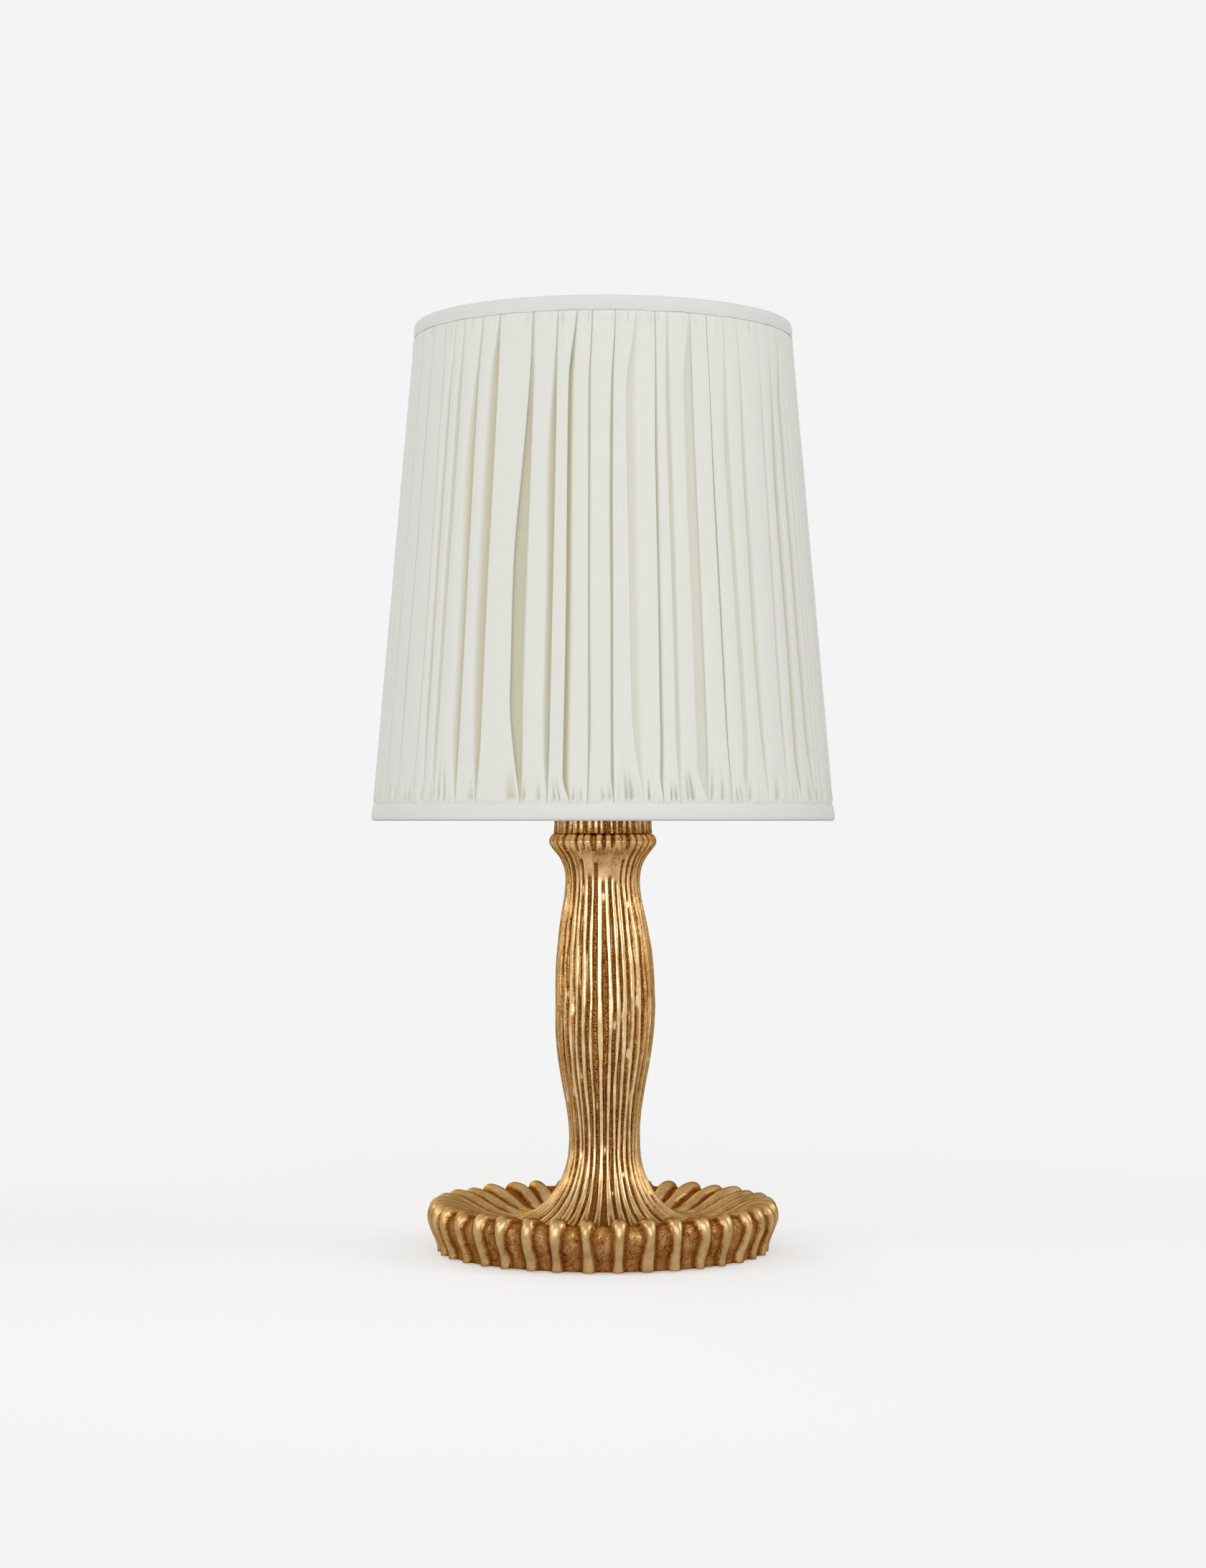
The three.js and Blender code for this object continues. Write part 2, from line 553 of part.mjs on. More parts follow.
// The spun canister: it drops into the cup, rests on the cup's lip by its flange, and has a wider
// bay at the top for the charging board, with a slot in the rear wall for the port.
function makeCanister() {
  const shell = revolve([
    [ROD_HOLE, CUP_FLOOR_TOP],
    [CANISTER_RADIUS, CUP_FLOOR_TOP],
    [CANISTER_RADIUS, CUP_TOP],
    [FLANGE_RADIUS, CUP_TOP],
    [FLANGE_RADIUS, CUP_TOP + FLANGE_THICKNESS],
    [BARREL_RADIUS, CUP_TOP + FLANGE_THICKNESS],
    [BARREL_RADIUS, BARREL_TOP],
    [BAY_BORE, BARREL_TOP],
    [BAY_BORE, BOARD_BOTTOM],
    [CANISTER_BORE, BOARD_BOTTOM],
    [CANISTER_BORE, CANISTER_FLOOR_TOP],
    [ROD_HOLE, CANISTER_FLOOR_TOP],
  ]);
  const slot = block(
    [PORT_WIDTH + 2 * CLEARANCE, BARREL_RADIUS, PORT_HEIGHT + 2 * CLEARANCE],
    [0, BARREL_RADIUS, BOARD_TOP + PORT_HEIGHT / 2],
  );
  return geometryOf(solid(shell).subtract(solid(slot)));
}

// A helix that narrows as it climbs, for the contact spring.
class ConeHelix extends THREE.Curve {
  getPoint(t, target = new THREE.Vector3()) {
    const angle = 2 * Math.PI * SPRING_TURNS * t;
    const radius = THREE.MathUtils.lerp(SPRING_FOOT_RADIUS, SPRING_TIP_RADIUS, t);
    const seat = SPRING_WIRE + CLEARANCE;
    const height = THREE.MathUtils.lerp(ROD_TOP + seat, CELL_BOTTOM - seat, t);
    return target.set(radius * Math.cos(angle), radius * Math.sin(angle), height);
  }
}

function makeSpring() {
  return wire(new ConeHelix(), SPRING_WIRE, 12 * SPRING_TURNS, 5);
}

// Plastic sleeve that centres the cell, slotted at the front for the lead from the spring.
function makeSleeve() {
  const tube = disc(SLEEVE_BORE + SLEEVE_WALL, CANISTER_FLOOR_TOP, CELL_TOP, SLEEVE_BORE);
  const slot = block(
    [SLEEVE_SLOT, 2 * SLEEVE_WALL, CELL_TOP - CANISTER_FLOOR_TOP],
    [0, -LEAD_CIRCLE, (CELL_TOP + CANISTER_FLOOR_TOP) / 2 + CUP_FLOOR],
  );
  return geometryOf(solid(tube).subtract(solid(slot)));
}

function makeCell() {
  return revolve([
    [0, CELL_BOTTOM],
    [CELL_RADIUS, CELL_BOTTOM],
    [CELL_RADIUS, CELL_TOP],
    [CELL_NUB_RADIUS, CELL_TOP],
    [CELL_NUB_RADIUS, CELL_TOP + CELL_NUB_HEIGHT],
    [0, CELL_TOP + CELL_NUB_HEIGHT],
  ], ROUND);
}

function makeContact() {
  const bottom = CELL_TOP + CELL_NUB_HEIGHT;
  return disc(CONTACT_RADIUS, bottom, bottom + CONTACT_THICKNESS, 0, SMALL);
}

// Insulated lead from the spring's foot up the sleeve's slot to the charging board.
function makeCellLead() {
  const level = ROD_TOP + LEAD_RADIUS + SPRING_WIRE;
  const foot = new THREE.Vector3(0, -SPRING_FOOT_RADIUS - SPRING_WIRE - LEAD_RADIUS - CLEARANCE, level);
  const corner = new THREE.Vector3(0, -LEAD_CIRCLE, level);
  const turn = new THREE.Vector3(0, -LEAD_CIRCLE, level + ELBOW_RADIUS);
  const top = new THREE.Vector3(0, -LEAD_CIRCLE, BOARD_BOTTOM - CLEARANCE);
  const elbow = wire(new THREE.QuadraticBezierCurve3(foot, corner, turn), LEAD_RADIUS, 5);
  const straight = wire(new THREE.LineCurve3(turn, top), LEAD_RADIUS, 1);
  return geometryOf(solid(elbow).add(solid(straight)));
}

// A chip that is soldered to a board whose upper face is at the given level.
function chip([size, [x, y]], level) {
  return block(size, [x, y, level + size[2] / 2 - SOLDER]);
}

// Round charging board that lies on the canister's inner ledge, with its larger chips.
function makeBoard() {
  let body = solid(disc(BOARD_RADIUS, BOARD_BOTTOM, BOARD_TOP));
  for (const each of [CHARGER_CHIP, GAUGE_CHIP, DRIVER_CHIP, SENSOR_CHIP]) {
    body = body.add(solid(chip(each, BOARD_TOP)));
  }
  return geometryOf(body);
}

// A slot-shaped outline with round ends, across X and up Z, middle at the origin.
function slotShape(width, height, Kind = THREE.Shape) {
  const radius = height / 2;
  const reach = width / 2 - radius;
  const shape = new Kind();
  shape.absarc(reach, 0, radius, -Math.PI / 2, Math.PI / 2, false);
  shape.absarc(-reach, 0, radius, Math.PI / 2, (3 * Math.PI) / 2, false);
  return shape;
}

// USB-C receptacle: a drawn shell, its back wall and the tongue, facing the lamp's rear.
function makePort() {
  const shell = slotShape(PORT_WIDTH, PORT_HEIGHT);
  shell.holes.push(slotShape(PORT_WIDTH - 2 * PORT_SHELL, PORT_HEIGHT - 2 * PORT_SHELL, THREE.Path));
  const tube = prism(shell, 0, PORT_DEPTH, 5);
  const back = prism(slotShape(PORT_WIDTH, PORT_HEIGHT), 0, PORT_SHELL * 2, 5);
  const tongue = block(PORT_TONGUE, [0, 0, PORT_TONGUE[2] / 2 + PORT_SHELL]);
  const body = geometryOf(solid(tube).add(solid(back)).add(solid(tongue)));
  const mouth = BARREL_RADIUS + PORT_PROUD;
  return body.rotateX(-Math.PI / 2).translate(0, mouth - PORT_DEPTH, BOARD_TOP + PORT_HEIGHT / 2);
}

// Aluminium lid of the canister, which carries the light-emitting board and the diffuser.
function makeCarrier() {
  const lid = revolve([
    [ROD_HOLE, SPIGOT_BOTTOM],
    [BOARD_RADIUS, SPIGOT_BOTTOM],
    [BOARD_RADIUS, BARREL_TOP],
    [CARRIER_RADIUS, BARREL_TOP],
    [CARRIER_RADIUS, CARRIER_TOP],
    [ROD_HOLE, CARRIER_TOP],
  ]);
  const hole = disc(LEAD_RADIUS + CLEARANCE, SPIGOT_BOTTOM - CUT_PAST, CARRIER_TOP + CUT_PAST, 0, SMALL / 2)
    .translate(0, -LED_CIRCLE + LED_SIZE[1], 0);
  return geometryOf(solid(lid).subtract(solid(hole)));
}

// Insulated lead from the driver chip up through the lid to the light-emitting board.
function makeLedLead() {
  const chipTop = BOARD_TOP + DRIVER_CHIP[0][2];
  const path = new THREE.LineCurve3(
    new THREE.Vector3(0, -LED_CIRCLE + LED_SIZE[1], chipTop + CLEARANCE),
    new THREE.Vector3(0, -LED_CIRCLE + LED_SIZE[1], CARRIER_TOP - CLEARANCE),
  );
  return wire(path, LEAD_RADIUS, 1);
}

function makeLedBoard() {
  const top = CARRIER_TOP + LED_BOARD_THICKNESS;
  let body = solid(disc(LED_BOARD_RADIUS, CARRIER_TOP, top, LED_BOARD_BORE));
  const led = chip([LED_SIZE, [0, LED_CIRCLE]], top);
  for (let i = 0; i < LED_COUNT; i++) body = body.add(solid(turned(led, (2 * Math.PI * i) / LED_COUNT)));
  return geometryOf(body);
}

// Opal diffuser: a straight sleeve with a rounded crown, open at the bottom and bored for the post.
function makeDiffuser() {
  const arc = (radius, crown, top, count) => Array.from({ length: count + 1 }, (_, i) => {
    const angle = (Math.PI / 2) * (i / count);
    return [radius - crown * (1 - Math.cos(angle)), top - crown * (1 - Math.sin(angle))];
  });
  const outer = arc(CARRIER_RADIUS, DIFFUSER_CROWN, DIFFUSER_TOP, 4);
  const inner = arc(CARRIER_RADIUS - DIFFUSER_WALL, DIFFUSER_CROWN - DIFFUSER_WALL,
    DIFFUSER_TOP - DIFFUSER_WALL, 3);
  return revolve([
    [CARRIER_RADIUS - DIFFUSER_WALL, CARRIER_TOP],
    [CARRIER_RADIUS, CARRIER_TOP],
    ...outer,
    [ROD_HOLE, DIFFUSER_TOP],
    [ROD_HOLE, DIFFUSER_TOP - DIFFUSER_WALL],
    ...inner.reverse(),
  ]);
}

// Threaded tube above the module, with a foot flange that bears on the lid from below.
function makePost() {
  return revolve([
    [ROD_BORE, SPIGOT_BOTTOM - POST_FLANGE_THICKNESS],
    [POST_FLANGE_RADIUS, SPIGOT_BOTTOM - POST_FLANGE_THICKNESS],
    [POST_FLANGE_RADIUS, SPIGOT_BOTTOM],
    [ROD_RADIUS, SPIGOT_BOTTOM],
    [ROD_RADIUS, POST_TOP],
    [ROD_BORE, POST_TOP],
  ], SMALL);
}

function makeSwitch() {
  const top = POST_TOP - BUTTON_STEM;
  const body = disc(ROD_BORE - CLEARANCE, top - SWITCH_HEIGHT, top, 0, SMALL);
  const wellFloor = top - PLUNGER_LENGTH - BUTTON_TRAVEL;
  const well = disc(PLUNGER_RADIUS + CLEARANCE, wellFloor, top + CUT_PAST, 0, SMALL / 2);
  return geometryOf(solid(body).subtract(solid(well)));
}

// Two-core lead down the post from the switch to the charging board.
function makeSwitchLead() {
  const bottom = BOARD_TOP + CLEARANCE;
  const top = POST_TOP - BUTTON_STEM - SWITCH_HEIGHT - CLEARANCE;
  const path = new THREE.LineCurve3(new THREE.Vector3(0, 0, bottom), new THREE.Vector3(0, 0, top));
  return wire(path, SWITCH_LEAD_RADIUS, 1);
}

// Domed push button: its stem slides in the post's bore and ends in the plunger.
function makeButton() {
  const stemBottom = POST_TOP - BUTTON_STEM + BUTTON_TRAVEL + CLEARANCE;
  const headTop = BUTTON_HEAD_BOTTOM + BUTTON_HEAD_HEIGHT;
  return revolve([
    [0, POST_TOP - BUTTON_STEM - PLUNGER_LENGTH + CLEARANCE],
    [PLUNGER_RADIUS, POST_TOP - BUTTON_STEM - PLUNGER_LENGTH + CLEARANCE],
    [PLUNGER_RADIUS, stemBottom],
    [ROD_BORE - CLEARANCE, stemBottom],
    [ROD_BORE - CLEARANCE, BUTTON_HEAD_BOTTOM],
    [BUTTON_HEAD_RADIUS, BUTTON_HEAD_BOTTOM],
    [BUTTON_HEAD_RADIUS, BUTTON_HEAD_BOTTOM + BUTTON_HEAD_HEIGHT / 2],
    [BUTTON_CROWN_RADIUS, headTop - BUTTON_HEAD_HEIGHT / 8],
    [0, headTop],
  ], SMALL);
}

// The shade's slope: the radius of a cone that lies a given way inside the trim's outer face.
function shadeRadius(height, inside) {
  const t = (height - SHADE_BOTTOM) / SHADE_HEIGHT;
  return THREE.MathUtils.lerp(SHADE_BOTTOM_RADIUS, SHADE_TOP_RADIUS, t) - inside;
}

// How far each layer of the shade lies inside the trim's outer face.
const TRIM_INSIDE = TRIM_THICKNESS;
const CLOTH_FLAT = TRIM_INSIDE + CLEARANCE;
const CLOTH_INSIDE = CLOTH_FLAT + CLOTH_THICKNESS;
const LINER_OUTSIDE = CLOTH_INSIDE + CLEARANCE;
const LINER_INSIDE = LINER_OUTSIDE + LINER_THICKNESS;
const FRAME_MIDDLE = LINER_INSIDE + CLEARANCE + FRAME_WIRE;
const TRIM_RETURN = FRAME_MIDDLE + FRAME_WIRE + CLEARANCE;
const EDGE_INSET = TRIM_THICKNESS + CLEARANCE;

function frameLevel(atTop) {
  const inset = EDGE_INSET + FRAME_WIRE;
  return atTop ? SHADE_TOP - inset : SHADE_BOTTOM + inset;
}

function frameRing(level) {
  const radius = shadeRadius(level, FRAME_MIDDLE);
  return new THREE.TorusGeometry(radius, FRAME_WIRE, WIRE_SIDES, SHADE_ROUND).translate(0, 0, level);
}

function armAngles() {
  return Array.from({ length: SPIDER_ARMS }, (_, i) => -Math.PI / 2 + (2 * Math.PI * i) / SPIDER_ARMS);
}

// Welded wire frame at the top: the ring, three bent arms and the washer that hangs on the post.
function makeSpider() {
  const level = frameLevel(true);
  const reach = shadeRadius(level, FRAME_MIDDLE);
  const middle = HUB_BOTTOM + HUB_THICKNESS / 2;
  const arm = new THREE.CatmullRomCurve3([
    new THREE.Vector3(HUB_RADIUS - FRAME_WIRE, 0, middle),
    new THREE.Vector3(HUB_RADIUS + ARM_BEND, 0, middle),
    new THREE.Vector3(reach - ARM_BEND, 0, (middle + level) / 2),
    new THREE.Vector3(reach, 0, level),
  ]);
  const armWire = wire(arm, FRAME_WIRE, 7, WIRE_SIDES);
  let body = solid(frameRing(level)).add(solid(disc(HUB_RADIUS, HUB_BOTTOM, HUB_TOP, ROD_HOLE)));
  for (const angle of armAngles()) body = body.add(solid(turned(armWire, angle)));
  const flatHub = disc(HUB_RADIUS, HUB_BOTTOM - CUT_PAST - FRAME_WIRE, HUB_BOTTOM, 0);
  const flatTop = disc(HUB_RADIUS, HUB_TOP, HUB_TOP + CUT_PAST + FRAME_WIRE, 0);
  return geometryOf(body.subtract(solid(flatHub)).subtract(solid(flatTop)));
}

function makeLiner() {
  const [low, high] = [SHADE_BOTTOM + EDGE_INSET, SHADE_TOP - EDGE_INSET];
  return revolve([
    [shadeRadius(low, LINER_INSIDE), low],
    [shadeRadius(low, LINER_OUTSIDE), low],
    [shadeRadius(high, LINER_OUTSIDE), high],
    [shadeRadius(high, LINER_INSIDE), high],
  ], SHADE_ROUND);
}

// Where each pleat begins and ends round the shade, as shares of a turn. Gathered by hand, the
// pleats are uneven: two waves out of step with each other set their widths.
function pleatEdges() {
  const [slow, fast] = [2.4, 5.3];
  const widths = Array.from({ length: PLEAT_COUNT }, (_, i) => (
    1 + PLEAT_UNEVEN * (Math.sin(slow * i) + Math.sin(fast * i + 1)) / 2
  ));
  const total = widths.reduce((sum, width) => sum + width, 0);
  let start = 0;
  return widths.map((width) => {
    const edge = start;
    start += width / total;
    return [edge, start];
  });
}

// Gathered cloth over the liner: flat panels that stand proud between narrow furrows, and lie
// flat where the trims hold them. Its inside is a smooth cone.
function makePleats() {
  const [low, high] = [SHADE_BOTTOM + EDGE_INSET, SHADE_TOP - EDGE_INSET];
  const [trimTop, trimBottom] = [SHADE_BOTTOM + TRIM_WIDTH, SHADE_TOP - TRIM_WIDTH];
  const levels = [
    [low, 0],
    [trimTop, 0],
    [trimTop + PLEAT_DEPTH, 1],
    [trimBottom - PLEAT_DEPTH, 1],
    [trimBottom, 0],
    [high, 0],
  ];
  const panel = [[0, 1], [PLEAT_PANEL_SHARE, 1], [PLEAT_FURROW_SHARE, 0]];
  const ring = (height, swell, lift) => pleatEdges().flatMap(([from, to]) => panel.map(([across, rise]) => {
    const angle = 2 * Math.PI * THREE.MathUtils.lerp(from, to, across);
    const radius = shadeRadius(height, CLOTH_FLAT) + swell * rise * PLEAT_DEPTH;
    return [radius * Math.cos(angle), radius * Math.sin(angle), height + lift];
  }));
  const outside = stackedRings(levels.map(([height, swell]) => ring(height, swell, 0)));
  const slope = (SHADE_BOTTOM_RADIUS - SHADE_TOP_RADIUS) / SHADE_HEIGHT;
  const hollow = revolve([
    [0, low - CUT_PAST],
    [shadeRadius(low, CLOTH_INSIDE) + slope * CUT_PAST, low - CUT_PAST],
    [shadeRadius(high, CLOTH_INSIDE) - slope * CUT_PAST, high + CUT_PAST],
    [0, high + CUT_PAST],
  ], SHADE_ROUND);
  return geometryOf(solid(outside).subtract(solid(hollow)));
}

// Folded trim: a band outside, over the edge and back inside the frame's ring.
function makeTrim(atTop) {
  const edge = atTop ? SHADE_TOP : SHADE_BOTTOM;
  const into = atTop ? -1 : 1;
  const level = (depth) => edge + into * depth;
  const point = (inside, depth) => [shadeRadius(level(depth), inside), level(depth)];
  const round = TRIM_THICKNESS / 2;
  const profile = [
    point(0, TRIM_WIDTH),
    point(TRIM_INSIDE, TRIM_WIDTH),
    point(TRIM_INSIDE, TRIM_THICKNESS),
    point(TRIM_RETURN, TRIM_THICKNESS),
    point(TRIM_RETURN, TRIM_WIDTH),
    point(TRIM_RETURN + TRIM_THICKNESS, TRIM_WIDTH),
    point(TRIM_RETURN + TRIM_THICKNESS, 0),
    point(round, 0),
    point(0, round),
  ];
  return revolve(atTop ? profile.reverse() : profile, SHADE_ROUND);
}

// The top trim's inner turn is slit where the spider's arms come in to the ring.
function makeTopTrim() {
  const from = shadeRadius(SHADE_TOP - TRIM_WIDTH, TRIM_RETURN + 2 * TRIM_THICKNESS);
  const to = shadeRadius(SHADE_TOP - TRIM_WIDTH, TRIM_RETURN) + CLEARANCE;
  const slit = block(
    [to - from, 2 * (FRAME_WIRE + CLEARANCE), TRIM_WIDTH],
    [(from + to) / 2, 0, SHADE_TOP - TRIM_THICKNESS - TRIM_WIDTH / 2],
  );
  let body = solid(makeTrim(true));
  for (const angle of armAngles()) body = body.subtract(solid(turned(slit, angle)));
  return geometryOf(body);
}

const lamp = new THREE.Group();
lamp.name = 'cordless_table_lamp';

function add(name, geometry, material) {
  const mesh = new THREE.Mesh(geometry, material);
  mesh.name = name;
  lamp.add(mesh);
}

add('base_casting', makeCasting(), gildedResin);
add('felt_pad', makeFelt(), brownFelt);
add('bottom_cover', makeCover(), blackPlastic);
screwAngles().forEach((angle, i) => add(`cover_screw_${i + 1}`, makeScrew(angle), zincSteel));
add('ballast_plate', makeBallast(), castIron);
add('tie_rod', makeRod(), zincSteel);
add('rod_nut', hexNut(ROD_BOTTOM), zincSteel);
add('rod_washer', makeRodWasher(), zincSteel);
add('neck_cup', makeCup(), gildedResin);
add('module_nut', hexNut(CANISTER_FLOOR_TOP), zincSteel);
add('module_canister', makeCanister(), satinBrass);
add('contact_spring', makeSpring(), zincSteel);
add('cell_sleeve', makeSleeve(), whitePlastic);
add('battery_cell', makeCell(), cellWrap);
add('contact_plate', makeContact(), zincSteel);
add('cell_lead', makeCellLead(), redLead);
add('charge_board', makeBoard(), boardGreen);
add('usb_c_port', makePort(), zincSteel);
add('led_carrier', makeCarrier(), aluminium);
add('led_lead', makeLedLead(), redLead);
add('led_board', makeLedBoard(), whitePlastic);
add('diffuser', makeDiffuser(), opalPlastic);
add('centre_post', makePost(), satinBrass);
add('diffuser_nut', knurledNut(DIFFUSER_NUT_RADIUS, DIFFUSER_TOP, DIFFUSER_NUT_HEIGHT, ROD_HOLE), satinBrass);
add('seat_collar', disc(SEAT_RADIUS, HUB_BOTTOM - SEAT_HEIGHT, HUB_BOTTOM, ROD_HOLE, SMALL), satinBrass);
add('dimmer_switch', makeSwitch(), blackPlastic);
add('switch_lead', makeSwitchLead(), redLead);
add('dimmer_button', makeButton(), satinBrass);
add('spider_frame', makeSpider(), whiteWire);
add('nut_washer', disc(NUT_WASHER_RADIUS, HUB_TOP, SHADE_NUT_BOTTOM, ROD_HOLE, SMALL), satinBrass);
add('shade_nut', knurledNut(SHADE_NUT_RADIUS, SHADE_NUT_BOTTOM, SHADE_NUT_HEIGHT, ROD_HOLE), satinBrass);
add('bottom_ring', frameRing(frameLevel(false)), whiteWire);
add('shade_liner', makeLiner(), styrene);
add('pleated_cover', makePleats(), shadeCloth);
add('top_trim', makeTopTrim(), shadeCloth);
add('bottom_trim', makeTrim(false), shadeCloth);

export default lamp;
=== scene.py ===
# %% [markdown]
# # A cordless table lamp in gold leaf and gathered cloth
#
# The CAD frame holds every piece at its real size. This script dresses it: a reeded casting under
# gold leaf, a shade of hand-gathered cloth between two folded trims, and the brass light module
# that the shade hides. Lengths are written in millimetres and turned into Blender's metres by MM.

# %% Load the frame
import json
import math
import bpy
import numpy as np
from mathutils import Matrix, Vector


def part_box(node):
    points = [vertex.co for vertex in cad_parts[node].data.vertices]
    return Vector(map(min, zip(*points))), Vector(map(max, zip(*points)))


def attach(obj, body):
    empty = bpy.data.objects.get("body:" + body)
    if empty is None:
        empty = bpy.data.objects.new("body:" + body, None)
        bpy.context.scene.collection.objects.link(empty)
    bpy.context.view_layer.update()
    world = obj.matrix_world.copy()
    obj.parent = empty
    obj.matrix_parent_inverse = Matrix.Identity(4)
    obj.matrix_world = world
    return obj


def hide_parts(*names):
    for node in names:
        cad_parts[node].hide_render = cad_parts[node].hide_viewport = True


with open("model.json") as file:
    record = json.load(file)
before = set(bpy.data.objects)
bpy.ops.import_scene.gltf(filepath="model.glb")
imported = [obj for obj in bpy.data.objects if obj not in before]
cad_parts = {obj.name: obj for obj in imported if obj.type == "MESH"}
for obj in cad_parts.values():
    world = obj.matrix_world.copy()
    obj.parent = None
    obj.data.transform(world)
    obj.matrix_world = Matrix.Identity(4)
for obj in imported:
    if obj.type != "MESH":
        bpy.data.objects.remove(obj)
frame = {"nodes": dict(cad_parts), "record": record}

MM = 0.001
TURN = 2 * math.pi
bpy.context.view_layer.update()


# %% [markdown]
# ## Camera
#
# The photograph was taken nearly level with the shade's lower edge, which shows as a straight line.
# So the camera stands at that height. How much the top edge curves gives its distance, and the lens
# follows from the lamp's height in the picture. A slight tilt upwards puts the lamp in the frame
# where it belongs.

# %% Camera
CAMERA_DISTANCE = 995 * MM
CAMERA_HEIGHT = 141.6 * MM
CAMERA_TILT = math.radians(0.70)
PICTURE_HEIGHT = 2185
FOCAL_PIXELS = 4200

lens = bpy.data.cameras.new("lamp_camera")
lens.sensor_width = 36
lens.lens = lens.sensor_width * FOCAL_PIXELS / PICTURE_HEIGHT
camera = bpy.data.objects.new("lamp_camera", lens)
camera.location = (0, -CAMERA_DISTANCE, CAMERA_HEIGHT)
camera.rotation_euler = (math.pi / 2 + CAMERA_TILT, 0, 0)
bpy.context.scene.collection.objects.link(camera)
bpy.context.scene.camera = camera
bpy.context.scene.view_settings.view_transform = "Standard"
print(f"camera {CAMERA_DISTANCE:.3f} m away, lens {lens.lens:.1f} mm")


# %% [markdown]
# ## Helpers for materials
#
# A colour is written as the sRGB hex value that a paint program shows, and one function turns it
# into the linear light that shaders work in. A second one adds a shader node with its settings and
# links, and a third wraps a finished shader into a material.

# %% Helpers for materials
def linear(code):
    """An sRGB hex colour as linear red, green, blue and alpha."""
    shares = [int(code[i:i + 2], 16) / 255 for i in (0, 2, 4)]
    return [c / 12.92 if c <= 0.04045 else ((c + 0.055) / 1.055) ** 2.4 for c in shares] + [1]


def add(tree, kind, inputs=None, **settings):
    """One shader node: settings are its own, and inputs are values or the sockets to link."""
    node = tree.nodes.new("ShaderNode" + kind)
    for name, value in settings.items():
        setattr(node, name, value)
    for key, value in (inputs or {}).items():
        if isinstance(value, bpy.types.NodeSocket):
            tree.links.new(value, node.inputs[key])
        else:
            node.inputs[key].default_value = value
    return node


def finish_of(name, build):
    """A material made by build, which gets the node tree and returns the shader node."""
    material = bpy.data.materials.new(name)
    material.use_nodes = True
    tree = material.node_tree
    tree.nodes.clear()
    add(tree, "OutputMaterial", {"Surface": build(tree).outputs[0]})
    return material


print("mid grey on screen is", round(linear("808080")[0], 3), "of the light")


# %% [markdown]
# ## Room
#
# A plain pale floor runs back into a background of the same tone. The world is white for what the
# camera, the metal and the glass see, and a little dimmer for the light that it throws. The floor
# is matt near the lamp, where it takes the soft shadow, and is lifted there only for the rays that
# show it, so that it adds no light to the lamp. Further out it glows at the background's tone, so
# that no horizon shows.

# %% World and floor
BACKGROUND = linear("f4f4f4")
WHITE = linear("ffffff")
AMBIENT = 0.45
FLOOR_LIFT = 0.46
FLOOR_RADIUS = 6000 * MM
MATT_REACH, GLOW_REACH = 160 * MM, 420 * MM


def shows_room(tree):
    """1 for rays that show the room, be it straight, mirrored or through glass, else 0."""
    path = add(tree, "LightPath")
    shown = path.outputs["Is Camera Ray"]
    for ray in ("Is Glossy Ray", "Is Transmission Ray"):
        shown = add(tree, "Math", {0: shown, 1: path.outputs[ray]}, operation="MAXIMUM").outputs[0]
    return shown


def build_world():
    """A white room, which is dimmer as a light than as a background."""
    world = bpy.data.worlds.new("studio")
    bpy.context.scene.world = world
    world.use_nodes = True
    tree = world.node_tree
    tree.nodes.clear()
    strength = add(tree, "MapRange", {"Value": shows_room(tree), "To Min": AMBIENT,
                                      "To Max": BACKGROUND[0]})
    light = add(tree, "Background", {"Color": WHITE, "Strength": strength.outputs[0]})
    add(tree, "OutputWorld", {"Surface": light.outputs[0]})


def build_floor_shader(tree):
    """Pale matt paint, which takes a soft shadow and mirrors nothing."""
    place = add(tree, "NewGeometry").outputs["Position"]
    reach = add(tree, "VectorMath", {0: place}, operation="LENGTH").outputs["Value"]
    far = add(tree, "MapRange", {"Value": reach, "From Min": MATT_REACH, "From Max": GLOW_REACH},
              interpolation_type="SMOOTHSTEP")
    shown = shows_room(tree)
    matt = add(tree, "BsdfDiffuse", {"Color": linear("c5c5c5")})
    lift = add(tree, "MapRange", {"Value": shown, "To Max": FLOOR_LIFT})
    lift = add(tree, "Emission", {"Color": WHITE, "Strength": lift.outputs[0]})
    near = add(tree, "AddShader", {0: matt.outputs[0], 1: lift.outputs[0]})
    level = add(tree, "MapRange", {"Value": shown, "To Min": AMBIENT, "To Max": 1.0})
    glow = add(tree, "Emission", {"Color": BACKGROUND, "Strength": level.outputs[0]})
    return add(tree, "MixShader", {0: far.outputs[0], 1: near.outputs[0], 2: glow.outputs[0]})


build_world()
bpy.ops.mesh.primitive_circle_add(vertices=96, radius=FLOOR_RADIUS, fill_type="NGON")
floor = bpy.context.object
floor.name = "floor"
floor.data.materials.append(finish_of("matt_floor", build_floor_shader))
print(f"background at {BACKGROUND[0]:.3f}, light from all round at {AMBIENT}")


# %% [markdown]
# ## Lamps
#
# A broad soft box stands in front, a little to the left and above the camera. It lights the cloth
# evenly and draws a streak down the crest of every gilded rib. A smaller one on each side fills the
# shade's edges and puts a streak beside the first. The right one is the stronger, so the short soft
# shadow falls on the floor to the left. The last one, behind on the left, lights the dish and the
# rim from the rear.

# %% Lamps
AIM = Vector((0, 0, 0.12))


def soft_box(name, place, width, height, watts):
    """A rectangle of light at a place in metres, which faces the middle of the lamp."""
    light = bpy.data.lights.new(name, "AREA")
    light.shape = "RECTANGLE"
    light.size, light.size_y = width, height
    light.energy = watts
    box = bpy.data.objects.new(name, light)
    box.location = place
    box.rotation_euler = (AIM - Vector(place)).to_track_quat("-Z", "Y").to_euler()
    bpy.context.scene.collection.objects.link(box)
    return box


